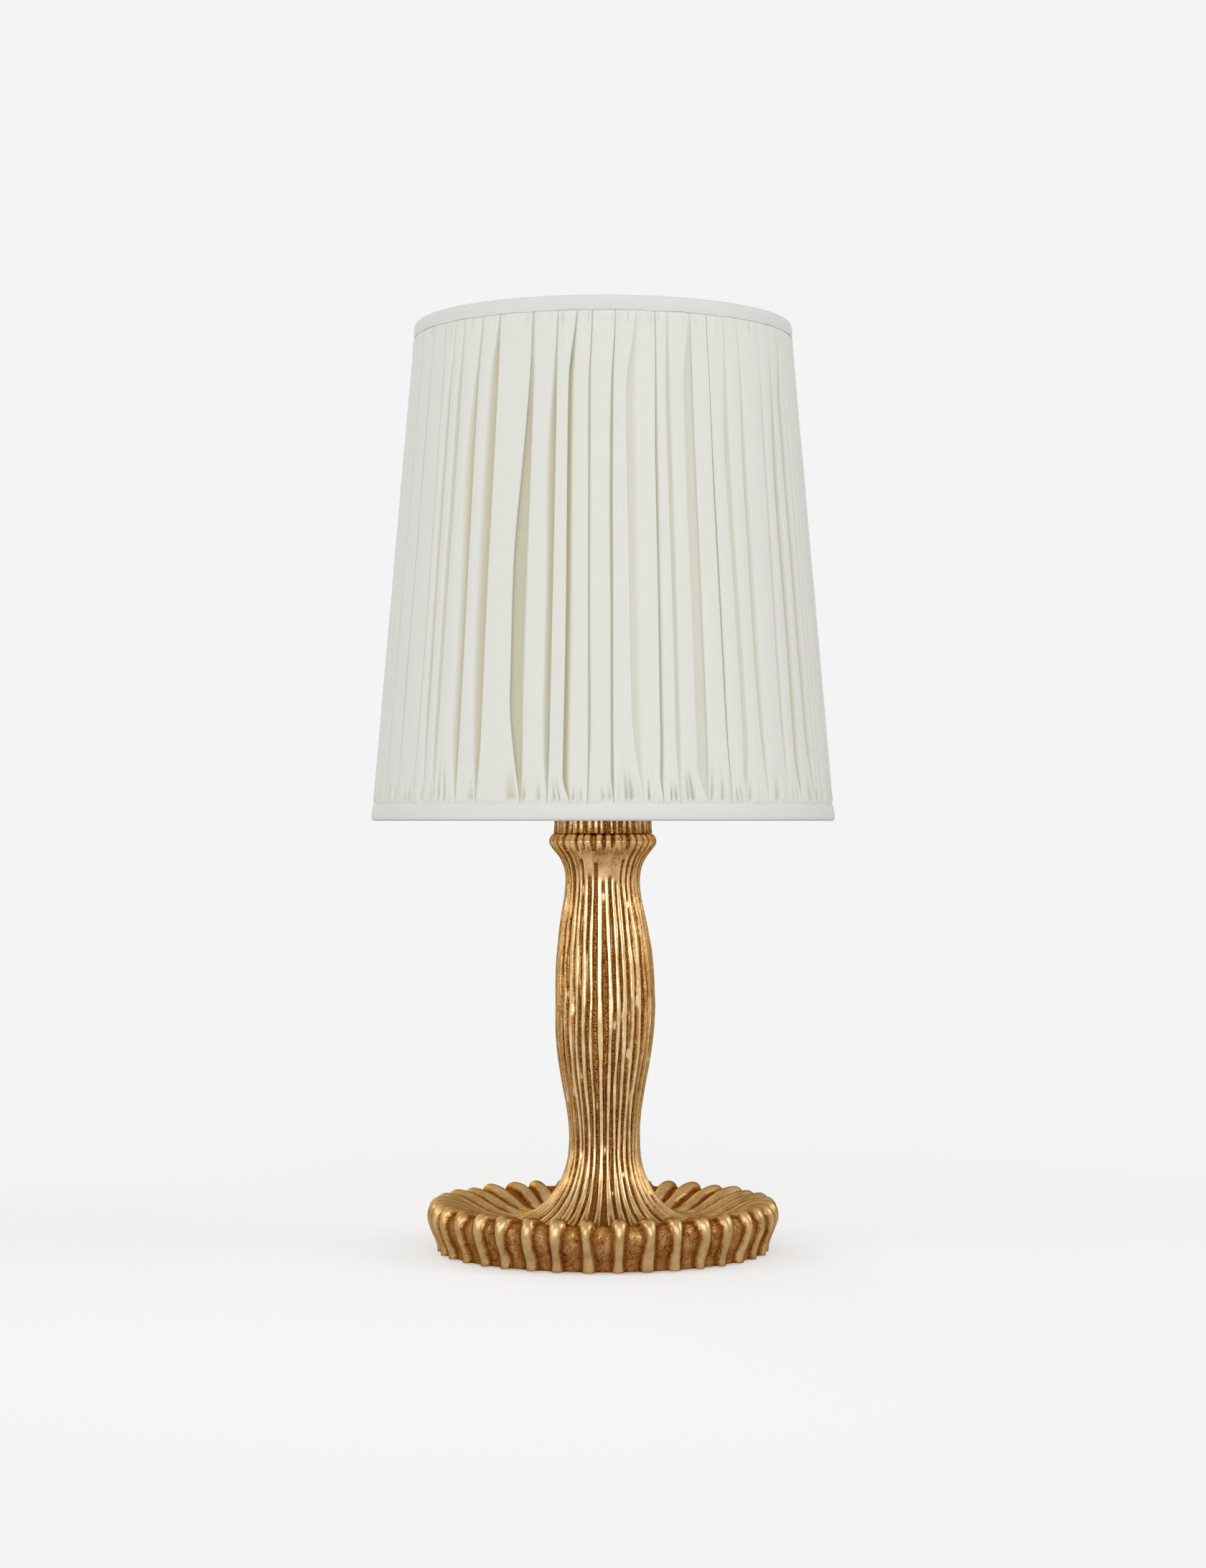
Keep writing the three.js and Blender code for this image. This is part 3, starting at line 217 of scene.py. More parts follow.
soft_box("front_box", (-0.2, -1.3, 0.36), 1.7, 0.72, 8.6)
soft_box("left_box", (-1.2, -0.5, 0.8), 0.6, 0.6, 2.8)
soft_box("right_box", (1.15, -0.3, 0.7), 0.6, 0.7, 4.4)
soft_box("rear_box", (-0.7, 1.1, 0.6), 1.0, 0.8, 4.0)
total = sum(light.energy for light in bpy.data.lights)
print(f"{len(bpy.data.lights)} soft boxes, {total:.1f} W in all")


# %% [markdown]
# ## Helpers for shapes
#
# Nearly every piece is round, so one builder joins rings of points into a mesh. It also lays a flat
# map over the surface in real millimetres, so that threads can run along the cloth, and it can
# store how deep a point lies in a groove. A turned part is such a mesh too: its outline's corners
# are first rounded as a lathe leaves them.

# %% Helpers for shapes
SHARP_CORNER = math.radians(50)
KNURLED_BAND = 0.05

# An arc takes at most one part in 2.2 of the edges beside it, so that two arcs never meet.
ARC_PART = 2.2


def ring_mesh(name, points, closed=True, flat_map=None, marks=None):
    """A mesh from points[row, column]. Columns close into rings, and rows close into a ring too
    where closed is true. flat_map holds u and v in metres for one row and column more, and marks
    one named number per point."""
    rows, columns = points.shape[:2]
    row = np.arange(rows if closed else rows - 1)
    r, c = (a.ravel() for a in np.meshgrid(row, np.arange(columns), indexing="ij"))
    r2, c2 = (r + 1) % rows, (c + 1) % columns
    faces = np.stack([r * columns + c, r * columns + c2, r2 * columns + c2, r2 * columns + c], 1)
    mesh = bpy.data.meshes.new(name)
    mesh.from_pydata(points.reshape(-1, 3), [], faces.tolist())
    mesh.shade_smooth()
    if flat_map is not None:
        u, v = flat_map
        corners = [(r, c), (r, c + 1), (r + 1, c + 1), (r + 1, c)]
        flat = np.stack([np.stack([u[i, j], v[i, j]], 1) for i, j in corners], 1)
        mesh.uv_layers.new(name="flat").data.foreach_set("uv", flat.ravel())
    for mark, values in (marks or {}).items():
        mesh.attributes.new(mark, "FLOAT", "POINT").data.foreach_set("value", values.ravel())
    piece = bpy.data.objects.new(name, mesh)
    bpy.context.scene.collection.objects.link(piece)
    return piece


def rounded(outline, radius, steps=3):
    """A closed outline of [radius, height] points with every corner turned into a small arc. A
    third number on a point is that corner's own radius."""
    soft = []
    for i, (*corner, own) in enumerate((*p, radius)[:3] for p in outline):
        corner = np.array(corner, float)
        before = np.array(outline[i - 1][:2], float) - corner
        after = np.array(outline[(i + 1) % len(outline)][:2], float) - corner
        cut = min(own, *(np.linalg.norm(side) / ARC_PART for side in (before, after)))
        start = corner + before / np.linalg.norm(before) * cut
        end = corner + after / np.linalg.norm(after) * cut
        for t in np.linspace(0, 1, steps + 1):
            soft.append((1 - t) ** 2 * start + 2 * t * (1 - t) * corner + t ** 2 * end)
    return np.array(soft)


def turned(name, outline, soften=0.3, segments=128, knurls=0, bite=0.35):
    """A turned piece from a closed outline in millimetres. Knurls groove its outermost face."""
    profile = rounded(outline, soften)
    angle = np.arange(segments) * TURN / segments
    radius = np.repeat(profile[:, :1], segments, 1)
    if knurls:
        outer = radius > profile[:, 0].max() - KNURLED_BAND
        radius = radius - outer * bite * (0.5 - 0.5 * np.cos(knurls * angle))
    height = np.repeat(profile[:, 1:], segments, 1)
    points = np.stack([radius * np.cos(angle), radius * np.sin(angle), height], 2) * MM
    piece = ring_mesh(name, points)
    piece.data.set_sharp_from_angle(angle=SHARP_CORNER)
    piece.modifiers.new("even_shading", "WEIGHTED_NORMAL").keep_sharp = True
    return piece


def dress(piece, body, material, slot, *nodes):
    """Gives a piece its body and its material, and hides the frame's nodes that it stands for."""
    piece.data.materials.clear()
    piece.data.materials.append(material)
    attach(piece, body)
    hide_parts(*nodes)
    return piece


def levels(node):
    """A node's largest radius, lowest and highest level, in millimetres."""
    low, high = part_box(node)
    return high.x / MM, low.z / MM, high.z / MM


print("the lamp stands", round(max(levels(n)[2] for n in frame["nodes"]), 1), "mm tall")


# %% [markdown]
# ## Gold leaf over resin
#
# The base is cast resin with a thin gilded skin. Leaf is laid on by hand, so it wrinkles and breaks,
# and a brown umber glaze is brushed on and wiped off again: it stays in the grooves and pores and
# leaves the crests bright. A picture of leaf would stretch over ribs that all differ. So the mesh
# stores four marks at each point: how deep it lies, how near the foot of a rib, how far down a rib's
# side, and how worn the leaf is. The side mark also paints each rib's sides a darker tan than its
# middle, as painted shade and highlight. The material lays leaf, film, glaze and cracks over each
# other by those marks, broken up by noise so that no edge looks ruled.

# %% Patterns in the leaf
# In millimetres. Wrinkles, patches and flakes have the sizes that the real leaf shows. The glaze's
# grain is finer than 0.1 there, and is drawn coarser, or it would vanish in the picture.
LEAF_GRAIN = 0.34
LEAF_WRINKLE = 1.8
LEAF_PATCH = 5
FLAKE, FLAKE_SWAY = 3.2, 2
SCORE_WIDTH, SCORE_LENGTH = 0.5, 7


def leaf_patterns(tree):
    """Grain of the glaze, patches of wear, wrinkles, the tool's scores and the leaf's flakes."""
    place = add(tree, "TexCoord").outputs["Object"]
    grain = add(tree, "TexNoise", {"Vector": place, "Scale": 1 / (LEAF_GRAIN * MM), "Detail": 2})
    patch = add(tree, "TexNoise", {"Vector": place, "Scale": 1 / (LEAF_PATCH * MM), "Detail": 5,
                                   "Roughness": 0.65})
    wrinkle = add(tree, "TexNoise", {"Vector": place, "Scale": 1 / (LEAF_WRINKLE * MM), "Detail": 4,
                                     "Roughness": 0.6})
    flat = add(tree, "UVMap", uv_map="flat").outputs[0]
    score = add(tree, "Mapping", {"Vector": flat,
                                  "Scale": (1 / (SCORE_WIDTH * MM), 1 / (SCORE_LENGTH * MM), 1)})
    score = add(tree, "TexNoise", {"Vector": score.outputs[0], "Scale": 1.0, "Detail": 2})
    sway = add(tree, "VectorMath", {0: wrinkle.outputs["Color"], 1: (FLAKE_SWAY * MM,) * 3, 2: place},
               operation="MULTIPLY_ADD")
    flake = add(tree, "TexVoronoi", {"Vector": sway.outputs[0], "Scale": 1 / (FLAKE * MM)},
                feature="DISTANCE_TO_EDGE")
    return [noise.outputs[0] for noise in (grain, patch, wrinkle, score, flake)]


print("leaf drawn with wrinkles of", LEAF_WRINKLE, "mm and flakes of", FLAKE, "mm")


# %% Glaze and cracks
GRAIN_SWING, PATCH_SWING, SCORE_SWING = 1.4, 0.9, 0.8


def glaze_cover(tree, depth, wash, grain, patch, score):
    """Where glaze lies, how thin it was wiped, and how much of the leaf it hides."""
    dirt = depth
    for noise, swing in ((grain, GRAIN_SWING), (patch, PATCH_SWING), (score, SCORE_SWING)):
        swung = add(tree, "Math", {0: noise, 1: swing, 2: -swing / 2}, operation="MULTIPLY_ADD")
        dirt = add(tree, "Math", {0: dirt, 1: swung.outputs[0]}, operation="ADD").outputs[0]
    glaze = add(tree, "MapRange", {"Value": dirt, "From Min": 0.44, "From Max": 0.6},
                interpolation_type="SMOOTHSTEP").outputs[0]
    least = add(tree, "MapRange", {"Value": wash, "To Min": 0.05, "To Max": 0.7})
    fleck = add(tree, "MapRange", {"Value": grain, "From Min": 0.47, "From Max": 0.53,
                                   "To Min": 1.0, "To Max": least.outputs[0]})
    thin = add(tree, "MapRange", {"Value": wash, "To Min": 1.0, "To Max": 0.72}).outputs[0]
    cover = add(tree, "Math", {0: glaze, 1: fleck.outputs[0]}, operation="MULTIPLY")
    cover = add(tree, "Math", {0: cover.outputs[0], 1: thin}, operation="MULTIPLY")
    return glaze, thin, cover.outputs[0]


def dark_lines(tree, depth, edge, wash, thin, patch, wrinkle, flake):
    """Cracks along the foot of each rib, and round the flakes where the leaf is worn."""
    broken = add(tree, "Math", {0: wrinkle, 1: 1.4, 2: -0.7}, operation="MULTIPLY_ADD")
    crack = add(tree, "Math", {0: edge, 1: broken.outputs[0]}, operation="ADD")
    crack = add(tree, "MapRange", {"Value": crack.outputs[0], "From Min": 0.88, "From Max": 1.12,
                                   "To Max": thin})
    craze = add(tree, "MapRange", {"Value": flake, "From Max": 0.05, "To Min": 1.0, "To Max": 0.0})
    sunk = add(tree, "MapRange", {"Value": depth, "From Min": 0.15, "From Max": 0.45, "To Max": wash})
    torn = add(tree, "MapRange", {"Value": patch, "From Min": 0.44, "From Max": 0.56,
                                  "To Max": sunk.outputs[0]})
    craze = add(tree, "Math", {0: craze.outputs[0], 1: torn.outputs[0]}, operation="MULTIPLY")
    return add(tree, "Math", {0: crack.outputs[0], 1: craze.outputs[0]}, operation="MAXIMUM").outputs[0]


print("grain moves the glaze's edge by up to", GRAIN_SWING / 2, "of a groove's depth")


# %% Gold leaf
# A Mix node has sockets for numbers, vectors and colours under the same names, so the ones for
# colours go by their numbers.
SHARE, FIRST, SECOND, MIXED = 0, 6, 7, 2


def build_gold_leaf(tree):
    """Leaf over resin: painted highlight on crests, painted shade and warm film on sides, rough brown
    grooves.
    """
    depth, edge, wash, side = (add(tree, "Attribute", attribute_name=mark).outputs["Fac"]
                               for mark in ("groove", "edge", "wash", "side"))
    grain, patch, wrinkle, score, flake = leaf_patterns(tree)
    glaze, thin, cover = glaze_cover(tree, depth, wash, grain, patch, score)
    crack = dark_lines(tree, depth, edge, wash, thin, patch, wrinkle, flake)
    warmth = add(tree, "MapRange", {"Value": patch, "From Min": 0.35, "From Max": 0.65}).outputs[0]
    # Painted shade and highlight: rib sides go a darker tan and crests stay pale, partly as burnished
    # leaf.
    flank_shade_and_burnish = add(tree, "Math", {0: wrinkle, 1: 0.9, 2: side}, operation="MULTIPLY_ADD")
    flank_shade_and_burnish = add(tree, "MapRange", {"Value": flank_shade_and_burnish.outputs[0], "From Min": 0.75,
                                    "From Max": 1.05}).outputs[0]
    film = add(tree, "MapRange", {"Value": depth, "From Min": 0.03, "From Max": 0.4,
                                  "To Max": 0.5}).outputs[0]
    halo = add(tree, "MapRange", {"Value": edge, "From Min": 0.1, "From Max": 0.9,
                                  "To Max": 0.5}).outputs[0]
    crest, worn, tint, umber = (
        add(tree, "Mix", {SHARE: share, FIRST: linear(first), SECOND: linear(second)},
            data_type="RGBA").outputs[MIXED]
        for share, first, second in ((warmth, "f0d6aa", "d6b480"), (warmth, "c9a777", "a88658"),
                                     (wash, "d08e46", "ac7c40"), (depth, "8a360a", "541702")))
    # In order: painted shade on the flanks, worn leaf, film, glaze, halo, umber and cracks.
    colour = crest
    for share, over in ((flank_shade_and_burnish, linear("94764e")), (wash, worn), (film, tint),
                        (glaze, linear("c68e44")), (halo, linear("7d4a1a")), (cover, umber),
                        (crack, linear("3c1204"))):
        colour = add(tree, "Mix", {SHARE: share, FIRST: colour, SECOND: over},
                     data_type="RGBA").outputs[MIXED]
    rough = add(tree, "MapRange", {"Value": cover, "To Min": 0.1, "To Max": 0.4}).outputs[0]
    for mark, share in ((wash, 0.16), (film, 0.15), (wrinkle, 0.12)):
        rough = add(tree, "Math", {0: mark, 1: share, 2: rough}, operation="MULTIPLY_ADD").outputs[0]
    soft = add(tree, "Bump", {"Height": wrinkle, "Strength": 0.35, "Distance": 0.2 * MM})
    pits = add(tree, "Math", {0: grain, 1: glaze}, operation="MULTIPLY")
    rasped = add(tree, "Bump", {"Height": pits.outputs[0], "Strength": 1.0, "Distance": 0.3 * MM,
                                "Normal": soft.outputs[0]})
    fine = add(tree, "Bump", {"Height": grain, "Strength": 0.2, "Distance": 0.05 * MM,
                              "Normal": rasped.outputs[0]})
    return add(tree, "BsdfPrincipled", {"Base Color": colour, "Metallic": 1.0, "Roughness": rough,
                                        "Specular Tint": linear("94754e"),
                                        "Normal": fine.outputs[0]})


gold_leaf = finish_of("gold_leaf_on_resin", build_gold_leaf)
print(len(gold_leaf.node_tree.nodes), "nodes in the gold leaf")


# %% [markdown]
# ## Reeded casting
#
# Foot, stem and collar are one casting with ribs that run unbroken from the table up over the rim,
# down into the dish and up the stem. A swept section can't do that, because the section changes all
# along. So the surface is written as a height over an outline: at each point of the outline, how
# wide, deep and round the ribs are there. The model for it was carved by hand, so each rib also
# wanders a little, swells and thins, and some grooves hold a thin extra thread.

# %% Smooth chance
chance = np.random.default_rng(7)


def drift(rows, along, wavelength):
    """One smooth random line per row, mostly between -1 and 1, along a length in millimetres."""
    total = np.zeros((rows, len(along)))
    for share in (1.0, 0.6, 0.4):
        stretch = wavelength * share * chance.uniform(0.7, 1.4, (rows, 1))
        total += share * np.sin(TURN * (along[None, :] / stretch + chance.uniform(0, 1, (rows, 1))))
    return total / 1.5


def smooth(low, high, value):
    """0 at low, 1 at high and level at both, also where low is the larger."""
    t = np.clip((value - low) / (high - low), 0, 1)
    return t * t * (3 - 2 * t)


print("a quarter of the way, a smooth step has risen", round(float(smooth(0, 1, 0.25)), 3))


# %% Outline of the casting
CURVE_STEPS = 60


def bend(*handles):
    """A cubic curve through the plane by its ends and two handles, as [radius, height] points."""
    a, b, c, d = (np.array(p, float) for p in handles)
    t = np.linspace(0, 1, CURVE_STEPS)[:, None]
    return (1 - t) ** 3 * a + 3 * t * (1 - t) ** 2 * b + 3 * t ** 2 * (1 - t) * c + t ** 3 * d


RIM, CREST, DISH, WAIST = (58, 12.2), (54, 17.5), (33, 10.8), (11.75, 36)
BELLY, THROAT, COLLAR = (16.6, 82), (12.35, 121.8), (17.9, 134.8)
TOE_RADIUS = 54.7
TOP_RADIUS = 15.9
_, TOE_LEVEL, TOP_LEVEL = levels("base_casting")

outline = np.concatenate([
    bend((TOE_RADIUS, TOE_LEVEL), (TOE_RADIUS, 4.4), (RIM[0], 8.3), RIM),
    bend(RIM, (RIM[0], 14.85), (56.65, CREST[1]), CREST),
    bend(CREST, (45.6, CREST[1]), (41.4, DISH[1]), DISH),
    bend(DISH, (19.2, DISH[1]), (WAIST[0], 23.4), WAIST),
    bend(WAIST, (WAIST[0], 52.1), (BELLY[0], 59), BELLY),
    bend(BELLY, (BELLY[0], 105.9), (THROAT[0], 113.8), THROAT),
    bend(THROAT, (THROAT[0], 130.9), (COLLAR[0], 132.1), COLLAR),
    bend(COLLAR, (COLLAR[0], 136.15), (16.8, TOP_LEVEL), (TOP_RADIUS, TOP_LEVEL)),
])
apart = np.linalg.norm(np.diff(outline, axis=0), axis=1) > 1e-6
outline = outline[np.insert(apart, 0, True)]
along = np.insert(np.cumsum(np.linalg.norm(np.diff(outline, axis=0), axis=1)), 0, 0)
print(f"outline of {along[-1]:.0f} mm over foot, stem and collar")


def length_at(level):
    """How far along the outline a level lies, on the stem's side of the dish."""
    stem = along > along[np.argmin(np.hypot(*(outline - DISH).T))]
    return np.interp(level, outline[stem, 1], along[stem])


# %% Chance in the ribs
# How each rib changes as it runs, as wavelengths in millimetres.
WAVES = {"wander": 75, "breadth": 32, "height": 60, "thread": 60, "bridge": 13, "thread_shift": 50,
         "lump": 22}
SLENDER_SHARE, SLENDER = 0.28, 0.66


def rib_chances(ribs, length, wander, threads):
    """Every rib's shift, breadth, height, thin thread and bridge to its neighbour, by length."""
    shift = drift(ribs, length, WAVES["wander"]).T * wander + chance.normal(0, 0.9, ribs) * wander
    is_slender = chance.random(ribs) < SLENDER_SHARE
    slender = np.where(is_slender, SLENDER, chance.uniform(0.85, 1.18, ribs))
    breadth = 1 + (slender - 1) * threads + 0.15 * drift(ribs, length, WAVES["breadth"]).T
    height = 1 - 0.1 * (1 + drift(ribs, length, WAVES["height"]).T)
    thread_here = smooth(0.2, 0.6, drift(ribs, length, WAVES["thread"])).T * threads
    bridge = smooth(1.0, 1.25, drift(ribs, length, WAVES["bridge"])).T * threads
    thread_shift = 0.1 * drift(ribs, length, WAVES["thread_shift"]).T
    return shift, breadth, height, thread_here, bridge, thread_shift


print(f"{SLENDER_SHARE:.0%} of the ribs are slender")


# %% Relief of the ribs
# Half widths are shares of the pitch from rib to rib, and heights are shares of the grooves' depth.
THREAD_HALF, BRIDGE_HALF = 0.085, 0.42
THREAD_HEIGHT, FILL_HEIGHT = 0.7, 0.9


def dome(x, fullness):
    """A rib's section: 1 on its middle, 0 at its edge, and the flatter on top the fuller it is."""
    return np.sqrt(np.clip(1 - np.abs(np.clip(x, -1, 1)) ** fullness, 0, None))


def rib_relief(place, width, fullness, filled, chances):
    """For each point, how far it rises to the crests, how near a rib's side it is, and how far out
    of the nearest rib it lies. Each point looks at its own rib and the two beside it."""
    shift, breadth, height, thread_here, bridge, thread_shift = chances
    ribs = shift.shape[1]
    nearest = np.floor(place).astype(int)
    swell = np.zeros((len(width), len(place)))
    filled = swell[:, :ribs] + filled
    edge, beyond = 0 * swell, swell + 1
    for step in (-1, 0, 1):
        rib = (nearest + step) % ribs
        away = 2 * (place - (nearest + step + 0.5 + shift[:, rib])) / (width * breadth[:, rib])
        middle = np.abs(place - (nearest + step + thread_shift[:, rib]))
        for risen in (height[:, rib] * dome(away, fullness),
                      THREAD_HEIGHT * thread_here[:, rib] * dome(middle / THREAD_HALF, 2),
                      THREAD_HEIGHT * bridge[:, rib] * dome(middle / BRIDGE_HALF, 2),
                      FILL_HEIGHT * filled[:, rib] * smooth(0.6, 0.36, middle)):
            swell = np.maximum(swell, risen)
        # The mark of a rib's foot fades slowly outside the rib and fast up its side.
        steep = np.where(np.abs(away) > 1, 0.45, 5)
        edge = np.maximum(edge, np.exp(-(steep * (np.abs(away) - 1)) ** 2 * 9))
        for gap in ((np.abs(away) - 1) * width * breadth[:, rib] / 2,
                    middle - THREAD_HALF + 1 - smooth(0, 0.5, thread_here[:, rib]),
                    middle - BRIDGE_HALF + 1 - smooth(0, 0.5, bridge[:, rib]),
                    0.8 - filled[:, rib] + smooth(0.4, 0.6, middle)):
            beyond = np.minimum(beyond, gap)
    return swell, edge, beyond


print("halfway to its edge a rib keeps", round(float(dome(0.5, 2.1)), 2), "of its height")


# %% Ribs
CREASE, CREASE_OUT = 0.06, 0.04
LUMP, LUMP_WAVES = 0.05, (9, 30)
SCORED_PITCH = 3
HIDDEN_MARK = 0.6


def rounded_open(points):
    """The inner section's points, each doubled close by, so that its corners stay crisp."""
    points = np.array(points, float)
    near = []
    for i, corner in enumerate(points):
        for other in (points[max(i - 1, 0)], points[min(i + 1, len(points) - 1)]):
            gap = other - corner
            size = np.linalg.norm(gap)
            near.append(corner + gap / size * min(0.3, size / 3) if size else corner)
    return np.array(near)


def reeded(name, line, stations, ribs, columns, body, nodes, inside, bow, filled=0):
    """A reeded piece. line is its outline with its length, stations say how the ribs change along
    it, inside is the rest of its closed section, which stays round, bow is how far the piece leans
    to the right at each point of the outline, and filled how far each groove is levelled there."""
    points, length = line
    tangent = np.gradient(points, length, axis=0)
    normal = np.stack([tangent[:, 1], -tangent[:, 0]], 1)
    normal /= np.linalg.norm(normal, axis=1)[:, None]
    keys = np.array(stations, float)
    depth, width, fullness, wander, threads, web, wash, stain = (
        np.interp(length, keys[:, 0], keys[:, k])[:, None] for k in range(1, 9))
    place = np.arange(columns) * ribs / columns
    angle = place * TURN / ribs
    chances = rib_chances(ribs, length, wander, threads)
    swell, edge, beyond = rib_relief(place, width, fullness, filled, chances)
    lumps = sum(drift(1, length, WAVES["lump"]).T
                * np.cos(chance.integers(*LUMP_WAVES) * angle + chance.uniform(0, TURN))
                for _ in range(5))
    sunk = depth * (1 - swell) + LUMP * lumps
    radius = points[:, :1] - sunk * normal[:, :1]
    level = points[:, 1:] - sunk * normal[:, 1:]
    skin = np.stack([radius * np.cos(angle) + bow[:, None], radius * np.sin(angle), level], 2)
    core = rounded_open(inside)
    rest = np.stack([core[:, :1] * np.cos(angle), core[:, :1] * np.sin(angle),
                     core[:, 1:] + 0 * angle], 2)
    hidden = np.full((len(core), columns), HIDDEN_MARK)
    valley = smooth(-0.13, 0.1, beyond)
    crease = np.exp(-((beyond - CREASE_OUT) / CREASE) ** 2)
    # The side mark rises from 0 on a rib's middle down its sides, where the leaf is painted darker as
    # shade.
    flank = np.clip(1 + beyond / 0.28, 0, 1) - 0.3 * smooth(-0.1, 0, beyond)
    marks = {"groove": np.concatenate([stain + web * valley + (1 - web) * 0.9 * edge, hidden]),
             "edge": np.concatenate([crease, 0 * hidden]),
             "side": np.concatenate([flank, hidden]),
             "wash": np.concatenate([wash + 0 * swell, hidden])}
    u = np.arange(columns + 1)[None, :] * ribs / columns * SCORED_PITCH
    v = np.concatenate([length, length[-1] + np.arange(len(core) + 1)])[:, None]
    piece = ring_mesh(name, np.concatenate([skin, rest]) * MM, marks=marks,
                      flat_map=((u + 0 * v) * MM, (v + 0 * u) * MM))
    return dress(piece, body, gold_leaf, "gilded_resin", *nodes)


print(f"about {SCORED_PITCH / SCORE_WIDTH:.0f} scores in the glaze to each rib")


# %% Room inside the casting
FIT = 0.3
rod_hole = levels("tie_rod")[0] + FIT
washer_room = levels("rod_washer")[0] + 4 * FIT
boss_face = levels("rod_washer")[2]
pocket, cover_top, ceiling = levels("ballast_plate")
recess = levels("bottom_cover")[0] + FIT
casting_inside = [(rod_hole, TOP_LEVEL), (rod_hole, boss_face), (washer_room, boss_face),
                  (washer_room, ceiling), (pocket + FIT, ceiling), (pocket + FIT, cover_top),
                  (recess, cover_top), (recess, TOE_LEVEL)]
print(f"ballast pocket {2 * (pocket + FIT):.1f} mm across, {ceiling - cover_top:.1f} mm deep")


# %% Casting
RIBS, COLUMNS_PER_RIB, CASTING_ROWS = 36, 18, 136

# Rows lie closest on the rim and the collar: place on the outline, and spacing there.
row_places = [0, 8, 24, 34, 75, length_at(36), length_at(118), length_at(127), along[-1]]
row_spacing = [0.8, 0.55, 0.6, 1.1, 1.2, 2.0, 2.0, 0.55, 0.42]
spacing = np.interp(along, row_places, row_spacing)
rings = np.insert(np.cumsum(np.diff(along) / spacing[1:]), 0, 0)
samples = np.interp(np.linspace(0, rings[-1], CASTING_ROWS), rings, along)
casting_line = (np.stack([np.interp(samples, along, outline[:, k]) for k in (0, 1)], 1), samples)
rim, crest, dish = (along[np.argmin(np.hypot(*(outline - p).T))] for p in (RIM, CREST, DISH))

# Each station: place on the outline, depth of the grooves, share of the pitch that a rib takes, how
# full its section is, how far it wanders, how often it has threads and bridges, how dark the web
# between ribs is, how worn the leaf is, and how stained.
reeds = [
    [0, 2.0, 0.44, 2.1, 0.05, 0, 0.5, 1, 0.1],
    [2.5, 2.3, 0.43, 2.1, 0.05, 0, 0.5, 1, 0.05],
    [6, 1.9, 0.36, 2.1, 0.06, 0, 0.5, 1, 0],
    [rim - 1, 2.1, 0.37, 2.1, 0.06, 0, 0.5, 1, -0.05],
    [(rim + crest) / 2, 2.8, 0.52, 2.0, 0.05, 0, 0.5, 0.9, -0.1],
    [crest, 2.4, 0.54, 2.0, 0.05, 0, 0.55, 0.9, 0],
    [dish, 1.6, 0.78, 2.0, 0.06, 0.1, 0.85, 0.9, 0],
    [length_at(18), 1.2, 0.72, 2.2, 0.08, 0.5, 1, 0.6, 0],
    [length_at(36), 0.9, 0.62, 3.2, 0.10, 0.9, 1, 0.15, 0],
    [length_at(82), 0.95, 0.64, 3.4, 0.10, 1.0, 1, 0, 0],
    [length_at(120), 0.9, 0.68, 3.2, 0.10, 0.8, 1, 0.2, 0],
    [length_at(127), 0.7, 0.74, 2.6, 0.10, 0.3, 1, 0.4, 0.24],
    [length_at(131.5), 0.6, 0.8, 2.2, 0.10, 0, 1, 0.4, 0.34],
    [length_at(133.5), 1.05, 0.9, 1.8, 0.10, 0, 1, 0.2, 0.24],
    [along[-1] - 2, 1.15, 0.88, 1.8, 0.10, 0, 1, 0, 0.24],
    [along[-1] - 0.6, 0.9, 0.86, 1.8, 0.10, 0, 0.8, 0, 0.36],
    [along[-1], 0.5, 0.8, 2.0, 0.10, 0, 0.8, 0, 0.55],
]

# Each groove fades out under the collar at a level of its own, lowest in front, and starts again
# on the bead.
facing = 0.5 - 0.5 * np.sin(np.arange(RIBS) * TURN / RIBS)
runs_on = chance.random(RIBS) < 0.5
groove_end = np.where(runs_on, 133, chance.uniform(126, 131, RIBS)) - 6 * smooth(0.85, 0.97, facing)
groove_start = chance.uniform(132.2, 133.6, RIBS)
filled = (smooth(-1.5, 1.5, samples[:, None] - length_at(groove_end)) *
          smooth(1.3, -1.3, samples[:, None] - length_at(groove_start)))

# The stem was carved by eye: it bows to the right a little at the belly.
bow_places = [dish, length_at(36), length_at(57), length_at(82), length_at(121), along[-1]]
bow = np.interp(samples, bow_places, [0, 0.5, 0.3, 0.75, -0.15, 0])
casting = reeded("reeded_base", casting_line, reeds, RIBS, RIBS * COLUMNS_PER_RIB, "base",
                 ["base_casting"], casting_inside, bow, filled)
print(len(casting.data.polygons), "faces on the casting")


# %% [markdown]
# ## Reeded neck
#
# The neck is a cup of its own that stands on the collar, with finer reeds that don't meet the
# collar's. The canister of the light module drops into it. The casting's builder makes it too, over
# an outline that is nearly straight, so that both look carved by the same hand.

